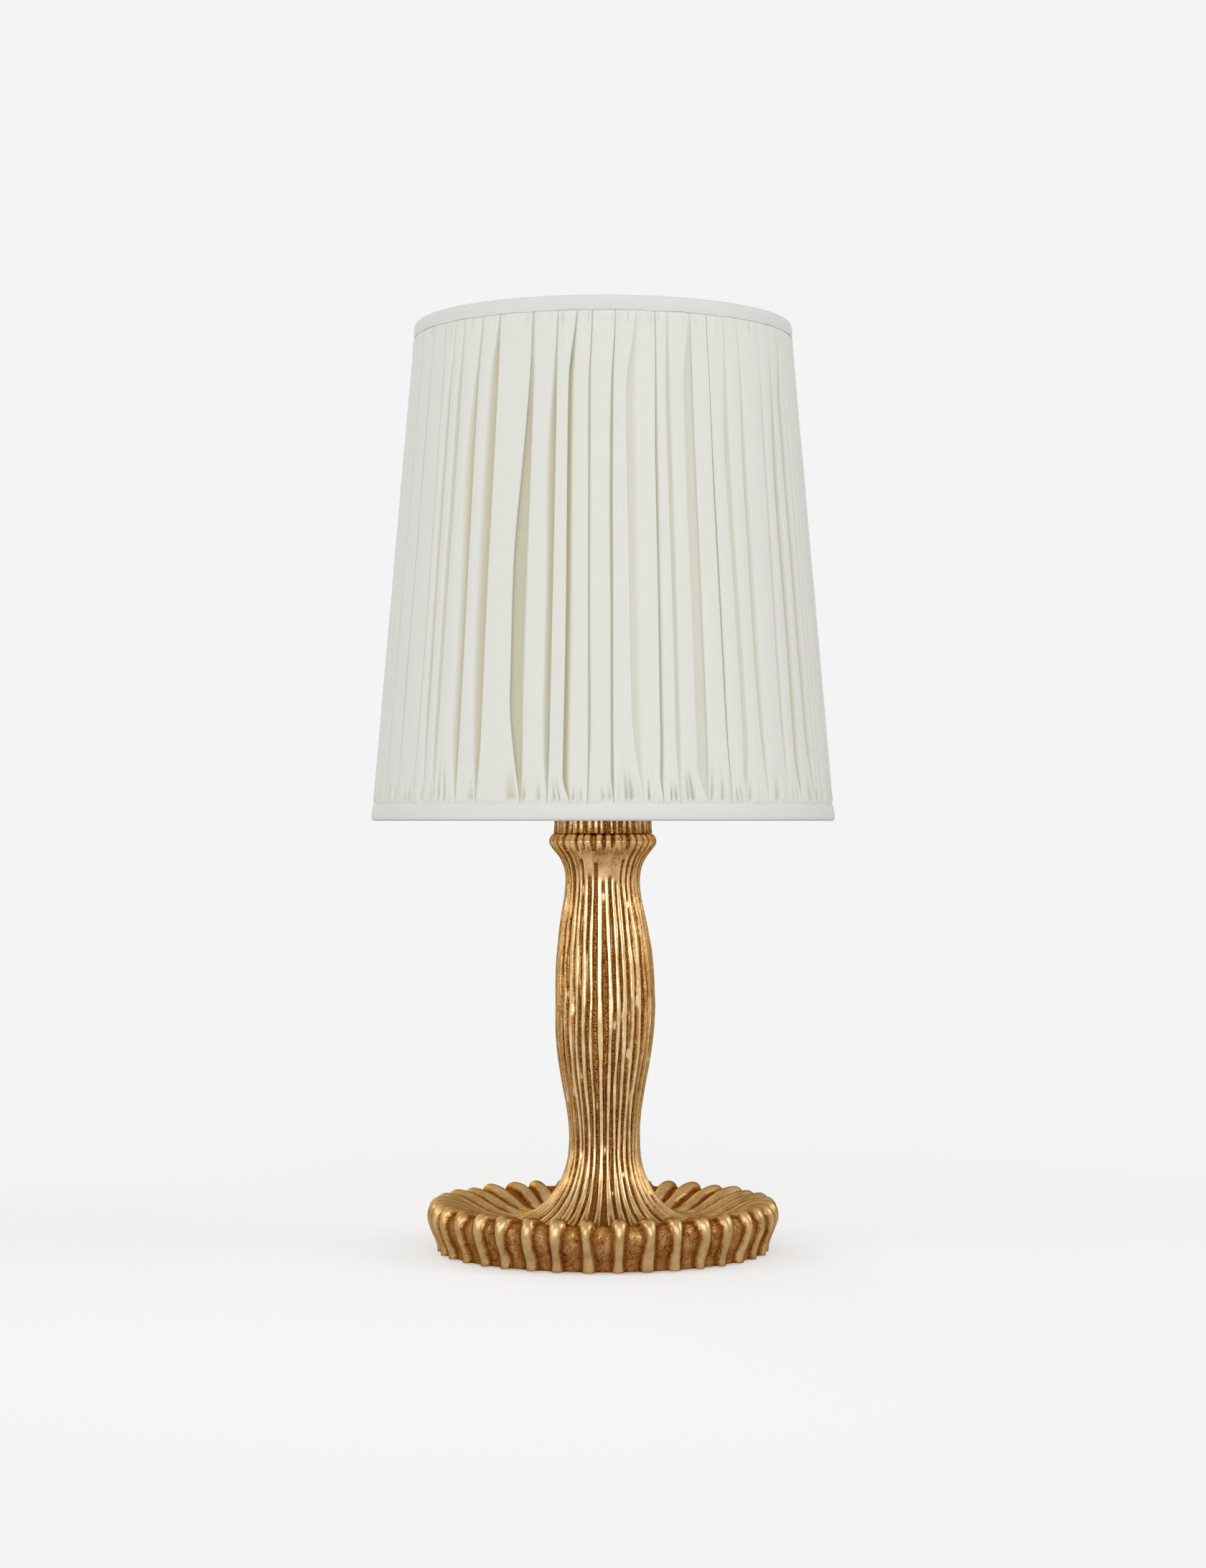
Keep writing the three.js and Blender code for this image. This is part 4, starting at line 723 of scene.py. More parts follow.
# %% Neck
CUP_RADIUS = 16.1
CUP_FLARE = 0.15
CUP_BORE = 14.0
NECK_RIBS, NECK_COLUMNS_PER_RIB = 42, 12
_, cup_foot, cup_top = levels("neck_cup")
cup_floor = levels("module_canister")[1]
cup_levels = np.concatenate([np.linspace(cup_foot, cup_foot + 2, 8),
                             np.linspace(cup_foot + 2.5, cup_top, 30)])
cup_flare = CUP_FLARE * (1 - smooth(0, 2, cup_levels - cup_foot))
cup_points = np.stack([CUP_RADIUS + cup_flare, cup_levels], 1)
cup_line = (cup_points, cup_levels - cup_foot)
cup_reeds = [
    [0, 0.6, 0.72, 2.4, 0.1, 0.4, 0.9, 0, 0.65],
    [0.5, 0.6, 0.72, 2.4, 0.1, 0.4, 0.9, 0, 0.5],
    [1.2, 0.6, 0.7, 2.4, 0.1, 0.5, 0.9, 0, 0.22],
    [3, 0.7, 0.7, 2.4, 0.1, 0.6, 1.0, 0, 0.14],
    [cup_top - cup_foot, 0.7, 0.7, 2.4, 0.1, 0.6, 1.0, 0, 0.1],
]
cup_inside = [(CUP_BORE, cup_top), (CUP_BORE, cup_floor), (rod_hole, cup_floor), (rod_hole, cup_foot)]
neck = reeded("reeded_neck", cup_line, cup_reeds, NECK_RIBS, NECK_RIBS * NECK_COLUMNS_PER_RIB, "base",
              ["neck_cup"], cup_inside, 0 * cup_levels)
print(f"neck {cup_top - cup_foot:.1f} mm tall, {len(neck.data.polygons)} faces")


# %% [markdown]
# ## Cloth
#
# The shade is covered in a fine plain-woven cotton, white with a breath of green-grey. Its threads
# run up the shade. They are 0.25 mm apart on the real cloth and drawn at twice that, or they would
# vanish in the picture. The folds' bottoms look warmer and darker, because light there has bounced
# from thread to thread, and a mark on the mesh tells the material where they are. The edges are
# bound in a cotton tape cut on the bias, so its ribs run slantwise. Both patterns are sine waves over
# a flat map of the cloth in real millimetres, and so they follow every fold.

# %% Cloth materials
# In millimetres. The tape's ribs are 0.4 apart on the real one and drawn coarser, as the threads are.
THREAD, TWILL = 0.5, 0.7
SLUB_WIDTH, SLUB_LENGTH = 0.9, 14
LINT = 1.2


def build_cotton(tree):
    """Plain-woven cotton: matt, with thick and thin threads, and pale where it turns away."""
    flat = add(tree, "UVMap", uv_map="flat").outputs[0]
    axes = add(tree, "SeparateXYZ", {0: flat})
    slub = add(tree, "Mapping", {"Vector": flat,
                                 "Scale": (1 / (SLUB_WIDTH * MM), 1 / (SLUB_LENGTH * MM), 1)})
    slub = add(tree, "TexNoise", {"Vector": slub.outputs[0], "Scale": 1.0, "Detail": 3,
                                  "Roughness": 0.6}).outputs[0]
    shift = add(tree, "Math", {0: slub, 1: 2.0}, operation="MULTIPLY").outputs[0]
    threads = []
    for axis in (axes.outputs[0], axes.outputs[1]):
        turn = add(tree, "Math", {0: axis, 1: TURN / (THREAD * MM), 2: shift},
                   operation="MULTIPLY_ADD").outputs[0]
        threads.append(add(tree, "Math", {0: turn}, operation="SINE").outputs[0])
    warp, weft = threads
    weave = add(tree, "Math", {0: weft, 1: 0.35, 2: warp}, operation="MULTIPLY_ADD").outputs[0]
    height = add(tree, "Math", {0: slub, 1: 2.5, 2: weave}, operation="MULTIPLY_ADD")
    depth = add(tree, "Attribute", attribute_name="groove").outputs["Fac"]
    tone = add(tree, "MapRange", {"Value": weave, "From Min": -1.3, "From Max": 1.3})
    thread = add(tree, "Mix", {SHARE: tone.outputs[0], FIRST: linear("e4e5dd"),
                               SECOND: linear("ebece4")}, data_type="RGBA")
    colour = add(tree, "Mix", {SHARE: depth, FIRST: thread.outputs[MIXED],
                               SECOND: linear("cbc4a8")}, data_type="RGBA")
    bump = add(tree, "Bump", {"Height": height.outputs[0], "Strength": 0.35, "Distance": 0.04 * MM})
    return add(tree, "BsdfPrincipled", {"Base Color": colour.outputs[MIXED], "Roughness": 0.9,
                                        "Sheen Weight": 0.25, "Sheen Roughness": 0.5,
                                        "Normal": bump.outputs[0]})


def build_bias_tape(tree):
    """Twill-woven cotton tape cut on the bias: matt, with slanting ribs, greyer than the cover."""
    flat = add(tree, "UVMap", uv_map="flat").outputs[0]
    axes = add(tree, "SeparateXYZ", {0: flat})
    lint = add(tree, "TexNoise", {"Vector": flat, "Scale": 1 / (LINT * MM), "Detail": 3})
    slant = add(tree, "Math", {0: axes.outputs[0], 1: axes.outputs[1]}, operation="ADD")
    shift = add(tree, "Math", {0: lint.outputs[0], 1: 1.5}, operation="MULTIPLY")
    rib = add(tree, "Math", {0: slant.outputs[0], 1: TURN / (TWILL * MM), 2: shift.outputs[0]},
              operation="MULTIPLY_ADD")
    rib = add(tree, "Math", {0: rib.outputs[0]}, operation="SINE")
    tone = add(tree, "MapRange", {"Value": rib.outputs[0], "From Min": -1, "From Max": 1})
    colour = add(tree, "Mix", {SHARE: tone.outputs[0], FIRST: linear("e0e1dc"),
                               SECOND: linear("e7e8e3")}, data_type="RGBA")
    bump = add(tree, "Bump", {"Height": rib.outputs[0], "Strength": 0.3, "Distance": 0.05 * MM})
    return add(tree, "BsdfPrincipled", {"Base Color": colour.outputs[MIXED], "Roughness": 0.88,
                                        "Sheen Weight": 0.25, "Sheen Roughness": 0.5,
                                        "Normal": bump.outputs[0]})


cotton = finish_of("woven_cotton", build_cotton)
bias_tape = finish_of("cotton_bias_tape", build_bias_tape)
print("threads drawn", THREAD, "mm apart on the cloth and", TWILL, "mm on the tape")


# %% [markdown]
# ## Gathered cover
#
# A strip nearly twice as long as the shade is round is gathered by hand at both edges. Each fold is
# a flat panel whose edges turn under: one edge crisply, the other in a soft roll, with a channel to
# the next panel. A cloth simulation would drape such folds but not place them, so the section is
# written fold by fold as points that can also turn back under themselves, and it changes on the
# way down: tight under the top trim, open lower down, and pinched with small tucks at the bottom.

# %% Shade sizes
FOOT_RADIUS, SHADE_FOOT, foot_trim_top = levels("bottom_trim")
SHADE_HEAD = levels("top_trim")[2]
HEAD_RADIUS = 61.9
TRIM_WIDTH = foot_trim_top - SHADE_FOOT
HEAD_TRIM = TRIM_WIDTH - 0.4
TRIM_CLOTH = 1.1
tape_foot, tape_head = SHADE_FOOT + TRIM_WIDTH, SHADE_HEAD - HEAD_TRIM


def cone(level, inside=0):
    """The radius of the shade's slope at a level, a given way inside the trims' outer face."""
    t = (level - SHADE_FOOT) / (SHADE_HEAD - SHADE_FOOT)
    return FOOT_RADIUS + (HEAD_RADIUS - FOOT_RADIUS) * t - inside


print(f"shade {SHADE_HEAD - SHADE_FOOT:.1f} mm tall, {2 * FOOT_RADIUS:.1f} mm across its foot")


# %% Where the folds stand
FOLDS = 62
FOLD_BREADTHS = (0.45, 1.55)
LEAN, LEAN_WAVE = 0.4, 300

# The channels that face the camera are read off the photograph: how many degrees each one's right
# edge stands from the front, how wide it opens in millimetres, how much of the full depth it has,
# and whether the crisp edge is on its right.
FRONT = [(-48.7, 2.0, 0.8, 1), (-44.5, 1.5, 0.6, 1), (-37.5, 3.0, 1, 1), (-30.9, 3.4, 0.9, 1),
         (-19.4, 4.0, 0.85, 0), (-12.8, 2.4, 1, 1), (-7.5, 1.9, 1, 0), (-3.2, 0.6, 1, 0),
         (2.7, 1.1, 1, 1), (9.7, 2.8, 0.35, 0), (14.9, 1.0, 1, 0), (18.8, 1.3, 0.5, 0),
         (25.9, 3.2, 0.4, 1), (31.7, 0.6, 1, 1), (37.5, 1.6, 0.4, 0), (43.7, 2.2, 0.5, 0),
         (51.7, 1.6, 0.5, 0)]
SHOWN = np.array(FRONT)
HIDDEN_FOLDS = FOLDS - len(FRONT)


def fold_places(rows, up, lap):
    """Each channel's place as a share of a turn, its number in a list that starts with the ones in
    front, and how far round its right edge stands at each row, in millimetres."""
    front_place = 0.75 + SHOWN[:, 0] / 360
    breadth = chance.uniform(*FOLD_BREADTHS, HIDDEN_FOLDS + 1)
    turned_on = (np.cumsum(breadth) / breadth.sum())[:-1] * (1 - np.ptp(front_place))
    place = np.concatenate([front_place, (front_place[-1] + turned_on) % 1])
    order = np.argsort(place)
    place = place[order]
    end = lap * place + LEAN * drift(FOLDS, rows, LEAN_WAVE).T
    end = end + chance.normal(0, 0.45, FOLDS) * smooth(0.14, 0, up)
    end = end + chance.normal(0, 0.35, FOLDS) * smooth(0.85, 1, up)
    return place, order, end


print(FOLDS, "folds round the shade,", len(FRONT), "of them as the photograph shows them")


# %% Size of each channel
NOSE = 0.3
UNDERCUT = 0.18
COVER_DEPTH = 1.5
FRONT_WIDENING = 1.2
WIDTHS, WIDTH_ODDS = [0.8, 1.4, 2.2, 3.2, 4.4], [0.2, 0.22, 0.22, 0.2, 0.16]


def channel_sizes(rows, up, place, order, pitch, held):
    """Each channel's width, flat floor, roll, depth, nose and undercut at each row, and whether its
    crisp edge is on the right."""
    # Each one opens below the top trim and closes above the foot, over a height of its own.
    opens, closes = chance.uniform(0.12, 0.6, FOLDS), chance.uniform(0.05, 0.25, FOLDS)
    openness = 0.1 + 0.9 * smooth(0, opens, 1.02 - up) * smooth(0, closes, up) ** 0.7

    # Widths come from a short list, and vary slowly round the shade too.
    widest = chance.choice(WIDTHS, FOLDS, p=WIDTH_ODDS)
    widest = widest * chance.uniform(0.8, 1.2, FOLDS) * (1 - 0.6 * np.cos(TURN * place) ** 4)
    widest[: len(FRONT)] = FRONT_WIDENING * SHOWN[:, 1]
    widest = widest[order]
    wide = widest * openness * (1 + 0.12 * drift(FOLDS, rows, 200).T)
    wide = np.clip(wide, 0.25, 0.55 * pitch)

    # Three in ten are flat troughs, and the others mostly a soft roll.
    floor_share = np.where(chance.random(FOLDS) < 0.3, 0.72, chance.uniform(0.1, 0.4, FOLDS))
    in_front = order < len(FRONT)
    deepest = np.where(in_front, 0.95, chance.uniform(0.75, 1.0, FOLDS)) * COVER_DEPTH
    depth_share = np.concatenate([SHOWN[:, 2], np.ones(HIDDEN_FOLDS)])[order]
    least = np.where(in_front, 0.35, 0.05)
    deep = np.minimum(deepest, least + 0.55 * wide) * depth_share * (0.35 + 0.65 * held)
    nose = np.minimum(NOSE, 0.5 * deep)
    under = UNDERCUT * np.clip(wide / 1.2, 0.2, 1)

    # Out of sight, one in five has its crisp edge on the right.
    mirrored = chance.random(FOLDS) < 0.2
    mirrored[: len(FRONT)] = SHOWN[:, 3] > 0
    return wide, wide * floor_share, wide * (1 - floor_share), deep, nose, under, mirrored[order]


print(f"channels mostly {WIDTHS[0]} to {WIDTHS[-1]} mm wide, and up to {COVER_DEPTH} mm deep")


# %% Panels between the channels
PANEL_POINTS = 9


def panel_points(rows, up, left, right, held):
    """Places and depths of the points across each panel, which is puffed and tucked at its ends."""
    pinch_foot = chance.uniform(0.04, 0.13, (1, FOLDS))
    pinch_head = chance.uniform(0.03, 0.07, (1, FOLDS))
    tuck_foot = smooth(pinch_foot, 0, up) ** 1.5 * held
    tuck_head = smooth(pinch_head, 0, 1 - up) ** 1.5 * held
    tucked = chance.integers(0, PANEL_POINTS, (3, FOLDS))
    sides, depths = [], []
    for k in range(PANEL_POINTS):
        share = (k + 1) / (PANEL_POINTS + 1)
        crown = -0.14 * math.sin(math.pi * share) + 0.07 * drift(FOLDS, rows, 45).T
        puff = chance.normal(0, 0.16, FOLDS) * tuck_foot + chance.normal(0, 0.1, FOLDS) * tuck_head
        at_foot = (tucked[0] == k) | (tucked[2] == k)
        tuck = 1.2 * tuck_foot * at_foot + 0.6 * tuck_head * (tucked[1] == k)
        sides.append(left + (right - left) * share)
        depths.append((crown + puff + tuck) * held * np.clip((right - left) / 3, 0.15, 1))
    return sides, depths


print(PANEL_POINTS, "points across each panel")


# %% Folds
EDGE_TURN = 2.4

# A channel's section, from the crisp edge of the panel that turns under to the next panel. The
# first four numbers say how far sideways, in noses, undercuts, flat floors and rolls, and the last
# two how deep, in noses and in channel depths.
CHANNEL = [(-EDGE_TURN, 0, 0, 0, 0, 0), (-1, 0, 0, 0, 0.05, 0), (-0.3, 0, 0, 0, 0.3, 0),
           (0, 0, 0, 0, 0.95, 0), (-0.2, -0.5, 0, 0, 0.6, 0.5), (0, -1, 0, 0, 0, 0.93),
           (0, 0, 0.3, 0, 0, 1), (0, 0, 1, 0.08, 0, 0.97), (0, 0, 1, 0.3, 0, 0.78),
           (0, 0, 1, 0.55, 0, 0.42), (0, 0, 1, 0.78, 0, 0.14), (0, 0, 1, 1, 0, 0)]


def gathered_cover(rows):
    """Places round the shade in millimetres, depths and groove marks of the cloth's outer side,
    each a table of rows by columns, and the number of columns to a fold."""
    up = ((rows - tape_foot) / (tape_head - tape_foot))[:, None]
    lap = TURN * cone(rows)[:, None]
    held = (smooth(-0.6, 2.2, rows - tape_foot) * smooth(-0.6, 1.6, tape_head - rows))[:, None]
    place, order, end = fold_places(rows, up, lap)
    start = np.concatenate([end[:, -1:] - lap, end[:, :-1]], 1)
    wide, flat, roll, deep, nose, under, mirrored = channel_sizes(rows, up, place, order,
                                                                  end - start, held)
    left = start + np.roll(mirrored * nose, 1, 1) * EDGE_TURN
    right = end - wide - ~mirrored * nose * EDGE_TURN
    sides, depths = panel_points(rows, up, left, right, held)
    for k in range(len(CHANNEL)):
        across, down = [], []
        for noses, unders, flats, rolls, nose_depth, share in (CHANNEL[k], CHANNEL[-1 - k]):
            across.append(noses * nose + unders * under + flats * flat + rolls * roll)
            down.append(nose_depth * nose + share * deep)
        sides.append(np.where(mirrored, end - across[1], end - wide + across[0]))
        depths.append(np.where(mirrored, down[1], down[0]))
    shape = (len(rows), -1)
    side, depth = np.stack(sides, 2).reshape(shape), np.stack(depths, 2).reshape(shape)
    return side, depth, np.clip(1.1 * depth / COVER_DEPTH, 0, 1) * held, len(sides)


print(len(CHANNEL), "points across each channel")


# %% Skin of the cover
TAPE = 0.55
COVER_CREST = 0.05
COVER_UNDER_TAPE = TAPE + 0.1
CUT_SHORT = 0.8
liner_radius, liner_foot, liner_head = levels("shade_liner")
liner_in = cone(liner_foot) - liner_radius
cover_low, cover_high = levels("pleated_cover")[1:]
cover_low, cover_high = cover_low + CUT_SHORT, cover_high - CUT_SHORT

# Rows lie closest where the trims press the folds flat.
cover_rows = np.concatenate([[cover_low, tape_foot - 0.6, tape_foot - 0.1, tape_foot + 0.35],
                             np.linspace(tape_foot + 0.9, tape_foot + 16, 15)[:-1],
                             np.linspace(tape_foot + 16, tape_head - 10, 27)[:-1],
                             np.linspace(tape_head - 10, tape_head - 0.8, 8),
                             [tape_head - 0.35, tape_head + 0.1, tape_head + 0.6, cover_high]])
side, depth, mark, fold_columns = gathered_cover(cover_rows)
free = smooth(-0.6, 1.0, cover_rows - tape_foot) * smooth(-0.6, 1.0, tape_head - cover_rows)
crest_in = COVER_CREST + (COVER_UNDER_TAPE - COVER_CREST) * (1 - free)
radius = cone(cover_rows)[:, None] - crest_in[:, None] - depth
angle = side / cone(cover_rows)[:, None]
height = np.repeat(cover_rows[:, None], side.shape[1], 1)
skin = np.stack([radius * np.cos(angle), radius * np.sin(angle), height], 2)
print(f"{skin.shape[0]} rows of {skin.shape[1]} points on the cloth's outer side")


# %% Cover
back_rows = cover_rows[[-1, 0]]
back_radius = cone(back_rows, liner_in - FIT)[:, None]
back_turn = np.linspace(0, TURN, side.shape[1], endpoint=False)[None, :]
back_angle = back_turn + angle[[-1, 0], :1]
back_height = np.repeat(back_rows[:, None], side.shape[1], 1)
back = np.stack([back_radius * np.cos(back_angle), back_radius * np.sin(back_angle), back_height], 2)
points = np.concatenate([skin, back])
closed = np.concatenate([points, points[:, :1]], 1)
steps = np.linalg.norm(np.diff(closed, axis=1), axis=2)
run = np.cumsum(np.insert(steps, 0, 0, axis=1), axis=1)

# Threads run straight up each panel, so its middle keeps one place on the flat strip.
own = np.minimum(np.arange(run.shape[1]) // fold_columns, FOLDS - 1)
centre = run[:, own * fold_columns + PANEL_POINTS // 2]
run = run - centre + centre[: len(cover_rows)].mean(0)
run = np.concatenate([run, run[:1]]) * MM
rise = np.concatenate([cover_rows, back_rows, cover_rows[:1]])[:, None]
rise = np.repeat(rise, run.shape[1], 1) * MM
marks = np.concatenate([mark, 0 * mark[:2]])
cover = ring_mesh("gathered_cover", points * MM, flat_map=(run, rise), marks={"groove": marks})
dress(cover, "shade", cotton, "shade_cloth", "pleated_cover")


# %% [markdown]
# ## Folded trims
#
# A bias tape is folded over each edge: down the outside, over the edge, and back inside past the
# wire ring. The section is a U with soft corners. Its outer face swells a little between the
# stitches, and at the top the inside turn is slit where the arms of the frame come in. A curve with
# a bevel could carry such a section, but neither the slits nor the uneven edge, so the trims are
# rings of points, as the cover is.

# %% Trims
FRAME_WIRE = 1.1
ARMS = 3
LINER_THICKNESS = 0.6
WIRE_IN = liner_in + LINER_THICKNESS + FIT + FRAME_WIRE
SWELL = 0.35
RIPPLE, WAVER = 0.06, 0.12
TAPE_STRETCH = 60
TRIM_COLUMNS = 480
arm_angles = [-math.pi / 2 + TURN * i / ARMS for i in range(ARMS)]


def trim(name, node, at_head, wide):
    """A tape folded over one edge of the shade, as wide outside as is said, in millimetres."""
    edge = SHADE_HEAD if at_head else SHADE_FOOT
    into = -1 if at_head else 1
    inner = WIRE_IN + FRAME_WIRE + FIT
    section = [(0, wide, 0.2), (TAPE, wide, 0.2), (TAPE, TAPE, 1.6), (inner, TAPE, 1.4),
               (inner, wide, 0.2), (inner + TAPE, wide, 0.2), (inner + TAPE, 0, 1.9),
               (-SWELL / 2, 0, 2.3), (-SWELL, wide * 0.5, 2)]
    soft = rounded(section, 0.2, 5)
    angle = np.arange(TRIM_COLUMNS) * TURN / TRIM_COLUMNS
    inside = np.repeat(soft[:, :1], TRIM_COLUMNS, 1)
    depth = np.repeat(soft[:, 1:], TRIM_COLUMNS, 1)
    outer = smooth(1.2, 0.3, inside)
    tape_run = angle * TAPE_STRETCH
    inside = inside + outer * RIPPLE * (drift(1, tape_run, 9)[0] + drift(1, tape_run, 25)[0])
    depth = depth + smooth(2, wide, depth) * WAVER * drift(1, tape_run, 17)[0]
    if at_head:
        for arm in arm_angles:
            away = np.abs((angle - arm + math.pi) % TURN - math.pi) * HEAD_RADIUS
            slit = smooth(2.2, 1.5, away) * smooth(inner - 0.8, inner - 0.2, inside)
            depth = depth + slit * (np.minimum(depth, TAPE + 0.1) - depth)
    level = edge + into * depth
    radius = cone(level) - inside
    points = np.stack([radius * np.cos(angle), radius * np.sin(angle), level], 2)
    points = points[::-1] if at_head else points
    closed = np.concatenate([points, points[:1]])
    steps = np.linalg.norm(np.diff(closed, axis=0), axis=2)
    across = np.cumsum(np.insert(steps, 0, 0, axis=0), axis=0) * MM
    across = np.concatenate([across, across[:, :1]], 1)
    length = TURN * cone(edge) * MM
    along_tape = np.repeat(np.linspace(0, length, TRIM_COLUMNS + 1)[None, :], len(across), 0)
    tape = ring_mesh(name, points * MM, flat_map=(along_tape, across))
    dress(tape, "shade", bias_tape, "trim_cloth", node)


trim("head_trim", "top_trim", True, HEAD_TRIM)
trim("foot_trim", "bottom_trim", False, TRIM_WIDTH)
print(f"trims {HEAD_TRIM:.1f} and {TRIM_WIDTH:.1f} mm wide")


# %% [markdown]
# ## Liner and wire frame
#
# The cloth is gathered over a cone of thin styrene, which glows evenly when the lamp is on. By day
# the light that passes cloth and styrene fills the shade from within. Closed solid meshes don't let
# it through here, so the styrene gives off that weak, even light itself, and the gilded collar
# below mirrors it. Two rings of lacquered wire stiffen the cone's edges, and three arms run from
# the upper one to a washer that sits on the light module's post. A wire could be a curve with a
# round bevel. Here it is a mesh of rings along a line, which closes at both ends.

# %% Liner and wire materials
DAYLIGHT_THROUGH = 0.29

# In millimetres. The roller's grain is about 0.2 on real sheet, and drawn coarser so that it shows.
SHEET_CLOUD, SHEET_GRAIN = 18, 0.6
LACQUER_RUN = 3


def build_styrene(tree):
    """Rolled styrene sheet: milky and half matt, with the faint grain of the roller."""
    place = add(tree, "TexCoord").outputs["Object"]
    cloud = add(tree, "TexNoise", {"Vector": place, "Scale": 1 / (SHEET_CLOUD * MM), "Detail": 3})
    grain = add(tree, "TexNoise", {"Vector": place, "Scale": 1 / (SHEET_GRAIN * MM), "Detail": 2})
    tone = add(tree, "MapRange", {"Value": cloud.outputs[0], "From Min": 0.3, "From Max": 0.7})
    colour = add(tree, "Mix", {SHARE: tone.outputs[0], FIRST: linear("edeae0"),
                               SECOND: linear("f4f2ea")}, data_type="RGBA")
    bump = add(tree, "Bump", {"Height": grain.outputs[0], "Strength": 0.2, "Distance": 0.05 * MM})
    return add(tree, "BsdfPrincipled", {"Base Color": colour.outputs[MIXED], "Roughness": 0.5,
                                        "Subsurface Weight": 0.15, "Normal": bump.outputs[0],
                                        "Emission Color": linear("efe3cc"),
                                        "Emission Strength": DAYLIGHT_THROUGH})


def build_lacquered_wire(tree):
    """Steel wire dipped in white lacquer: glossy and a little thicker where it ran."""
    place = add(tree, "TexCoord").outputs["Object"]
    run = add(tree, "TexNoise", {"Vector": place, "Scale": 1 / (LACQUER_RUN * MM), "Detail": 3})
    tone = add(tree, "MapRange", {"Value": run.outputs[0], "From Min": 0.3, "From Max": 0.75})
    colour = add(tree, "Mix", {SHARE: tone.outputs[0], FIRST: linear("eeeeea"),
                               SECOND: linear("d8d8d2")}, data_type="RGBA")
    rough = add(tree, "MapRange", {"Value": run.outputs[0], "To Min": 0.25, "To Max": 0.45})
    bump = add(tree, "Bump", {"Height": run.outputs[0], "Strength": 0.3, "Distance": 0.1 * MM})
    return add(tree, "BsdfPrincipled", {"Base Color": colour.outputs[MIXED],
                                        "Roughness": rough.outputs[0], "Normal": bump.outputs[0]})


styrene = finish_of("styrene_sheet", build_styrene)
lacquered_wire = finish_of("lacquered_wire", build_lacquered_wire)
print("daylight through the shade at", DAYLIGHT_THROUGH)


# %% Rings and arms of wire
RING_COLUMNS, RING_SIDES, ARM_SIDES = 192, 16, 14


def ring_of_wire(name, level, node):
    """A ring of round wire just inside the liner."""
    angle = np.arange(RING_COLUMNS) * TURN / RING_COLUMNS
    side = np.arange(RING_SIDES)[:, None] * TURN / RING_SIDES
    radius = cone(level, WIRE_IN) + FRAME_WIRE * np.cos(side) + 0 * angle
    height = level + FRAME_WIRE * np.sin(side) + 0 * angle
    points = np.stack([radius * np.cos(angle), radius * np.sin(angle), height], 2)
    return dress(ring_mesh(name, points * MM), "shade", lacquered_wire, "white_wire", node)


def spline(points, steps):
    """A smooth curve through its points. At each it runs parallel to its two neighbours' line."""
    first, last = 2 * np.array(points[0]) - points[1], 2 * np.array(points[-1]) - points[-2]
    p = np.array([first, *points, last], float)
    t = np.linspace(0, 1, steps, endpoint=False)[:, None]
    parts = []
    for a, b, c, d in zip(p, p[1:], p[2:], p[3:]):
        square, cube = 2 * a - 5 * b + 4 * c - d, 3 * b - a - 3 * c + d
        parts.append(0.5 * (2 * b + (c - a) * t + square * t ** 2 + cube * t ** 3))
    return np.concatenate([*parts, p[-2:-1]])


def round_wire(name, line, radius):
    """A wire along a line in the plane of X and Z, closed to a point at each end."""
    tangent = np.gradient(line, axis=0)
    tangent /= np.linalg.norm(tangent, axis=1)[:, None]
    across = np.array([0, 1, 0])
    up = np.cross(tangent, across)
    side = (np.arange(ARM_SIDES) * TURN / ARM_SIDES)[None, :, None]
    thick = np.insert(np.append(np.full(len(line), radius), 0), 0, 0)[:, None, None]
    line, up = (np.concatenate([a[:1], a, a[-1:]]) for a in (line, up))
    points = line[:, None] + thick * (np.cos(side) * up[:, None] + np.sin(side) * across)
    return ring_mesh(name, points * MM, closed=False)


inset = TRIM_CLOTH + FIT + FRAME_WIRE
ring_level = SHADE_HEAD - inset
ring_of_wire("foot_wire", SHADE_FOOT + inset, "bottom_ring")
ring_of_wire("head_wire", ring_level, "spider_frame")
print(f"wire {2 * FRAME_WIRE} mm thick, upper ring {ring_level - SHADE_FOOT:.1f} mm over the lower edge")


# %% Spider and liner
HUB_RADIUS = 11
ARM_BEND = 14
hub_foot, hub_head = levels("seat_collar")[2], levels("nut_washer")[1]
hub_middle = (hub_foot + hub_head) / 2
reach = cone(ring_level, WIRE_IN)
arm_line = spline([(HUB_RADIUS - FRAME_WIRE, 0, hub_middle), (HUB_RADIUS + ARM_BEND, 0, hub_middle),
                   (reach - ARM_BEND, 0, (hub_middle + ring_level) / 2), (reach, 0, ring_level)], 12)
for count, arm in enumerate(arm_angles, 1):
    rod = round_wire(f"frame_arm_{count}", arm_line, FRAME_WIRE)
    rod.rotation_euler = (0, 0, arm)
    dress(rod, "shade", lacquered_wire, "white_wire", "spider_frame")
hub = turned("frame_hub", [(rod_hole, hub_foot), (HUB_RADIUS, hub_foot), (HUB_RADIUS, hub_head),
                           (rod_hole, hub_head)], 0.4)
dress(hub, "shade", lacquered_wire, "white_wire", "spider_frame")

liner_back = liner_in + LINER_THICKNESS
liner = turned("styrene_cone", [(cone(liner_foot, liner_back), liner_foot),
                                (cone(liner_foot, liner_in), liner_foot),
                                (cone(liner_head, liner_in), liner_head),
                                (cone(liner_head, liner_back), liner_head)], 0.1, 256)
dress(liner, "shade", styrene, "styrene", "shade_liner")
print(f"liner {liner_head - liner_foot:.1f} mm tall")


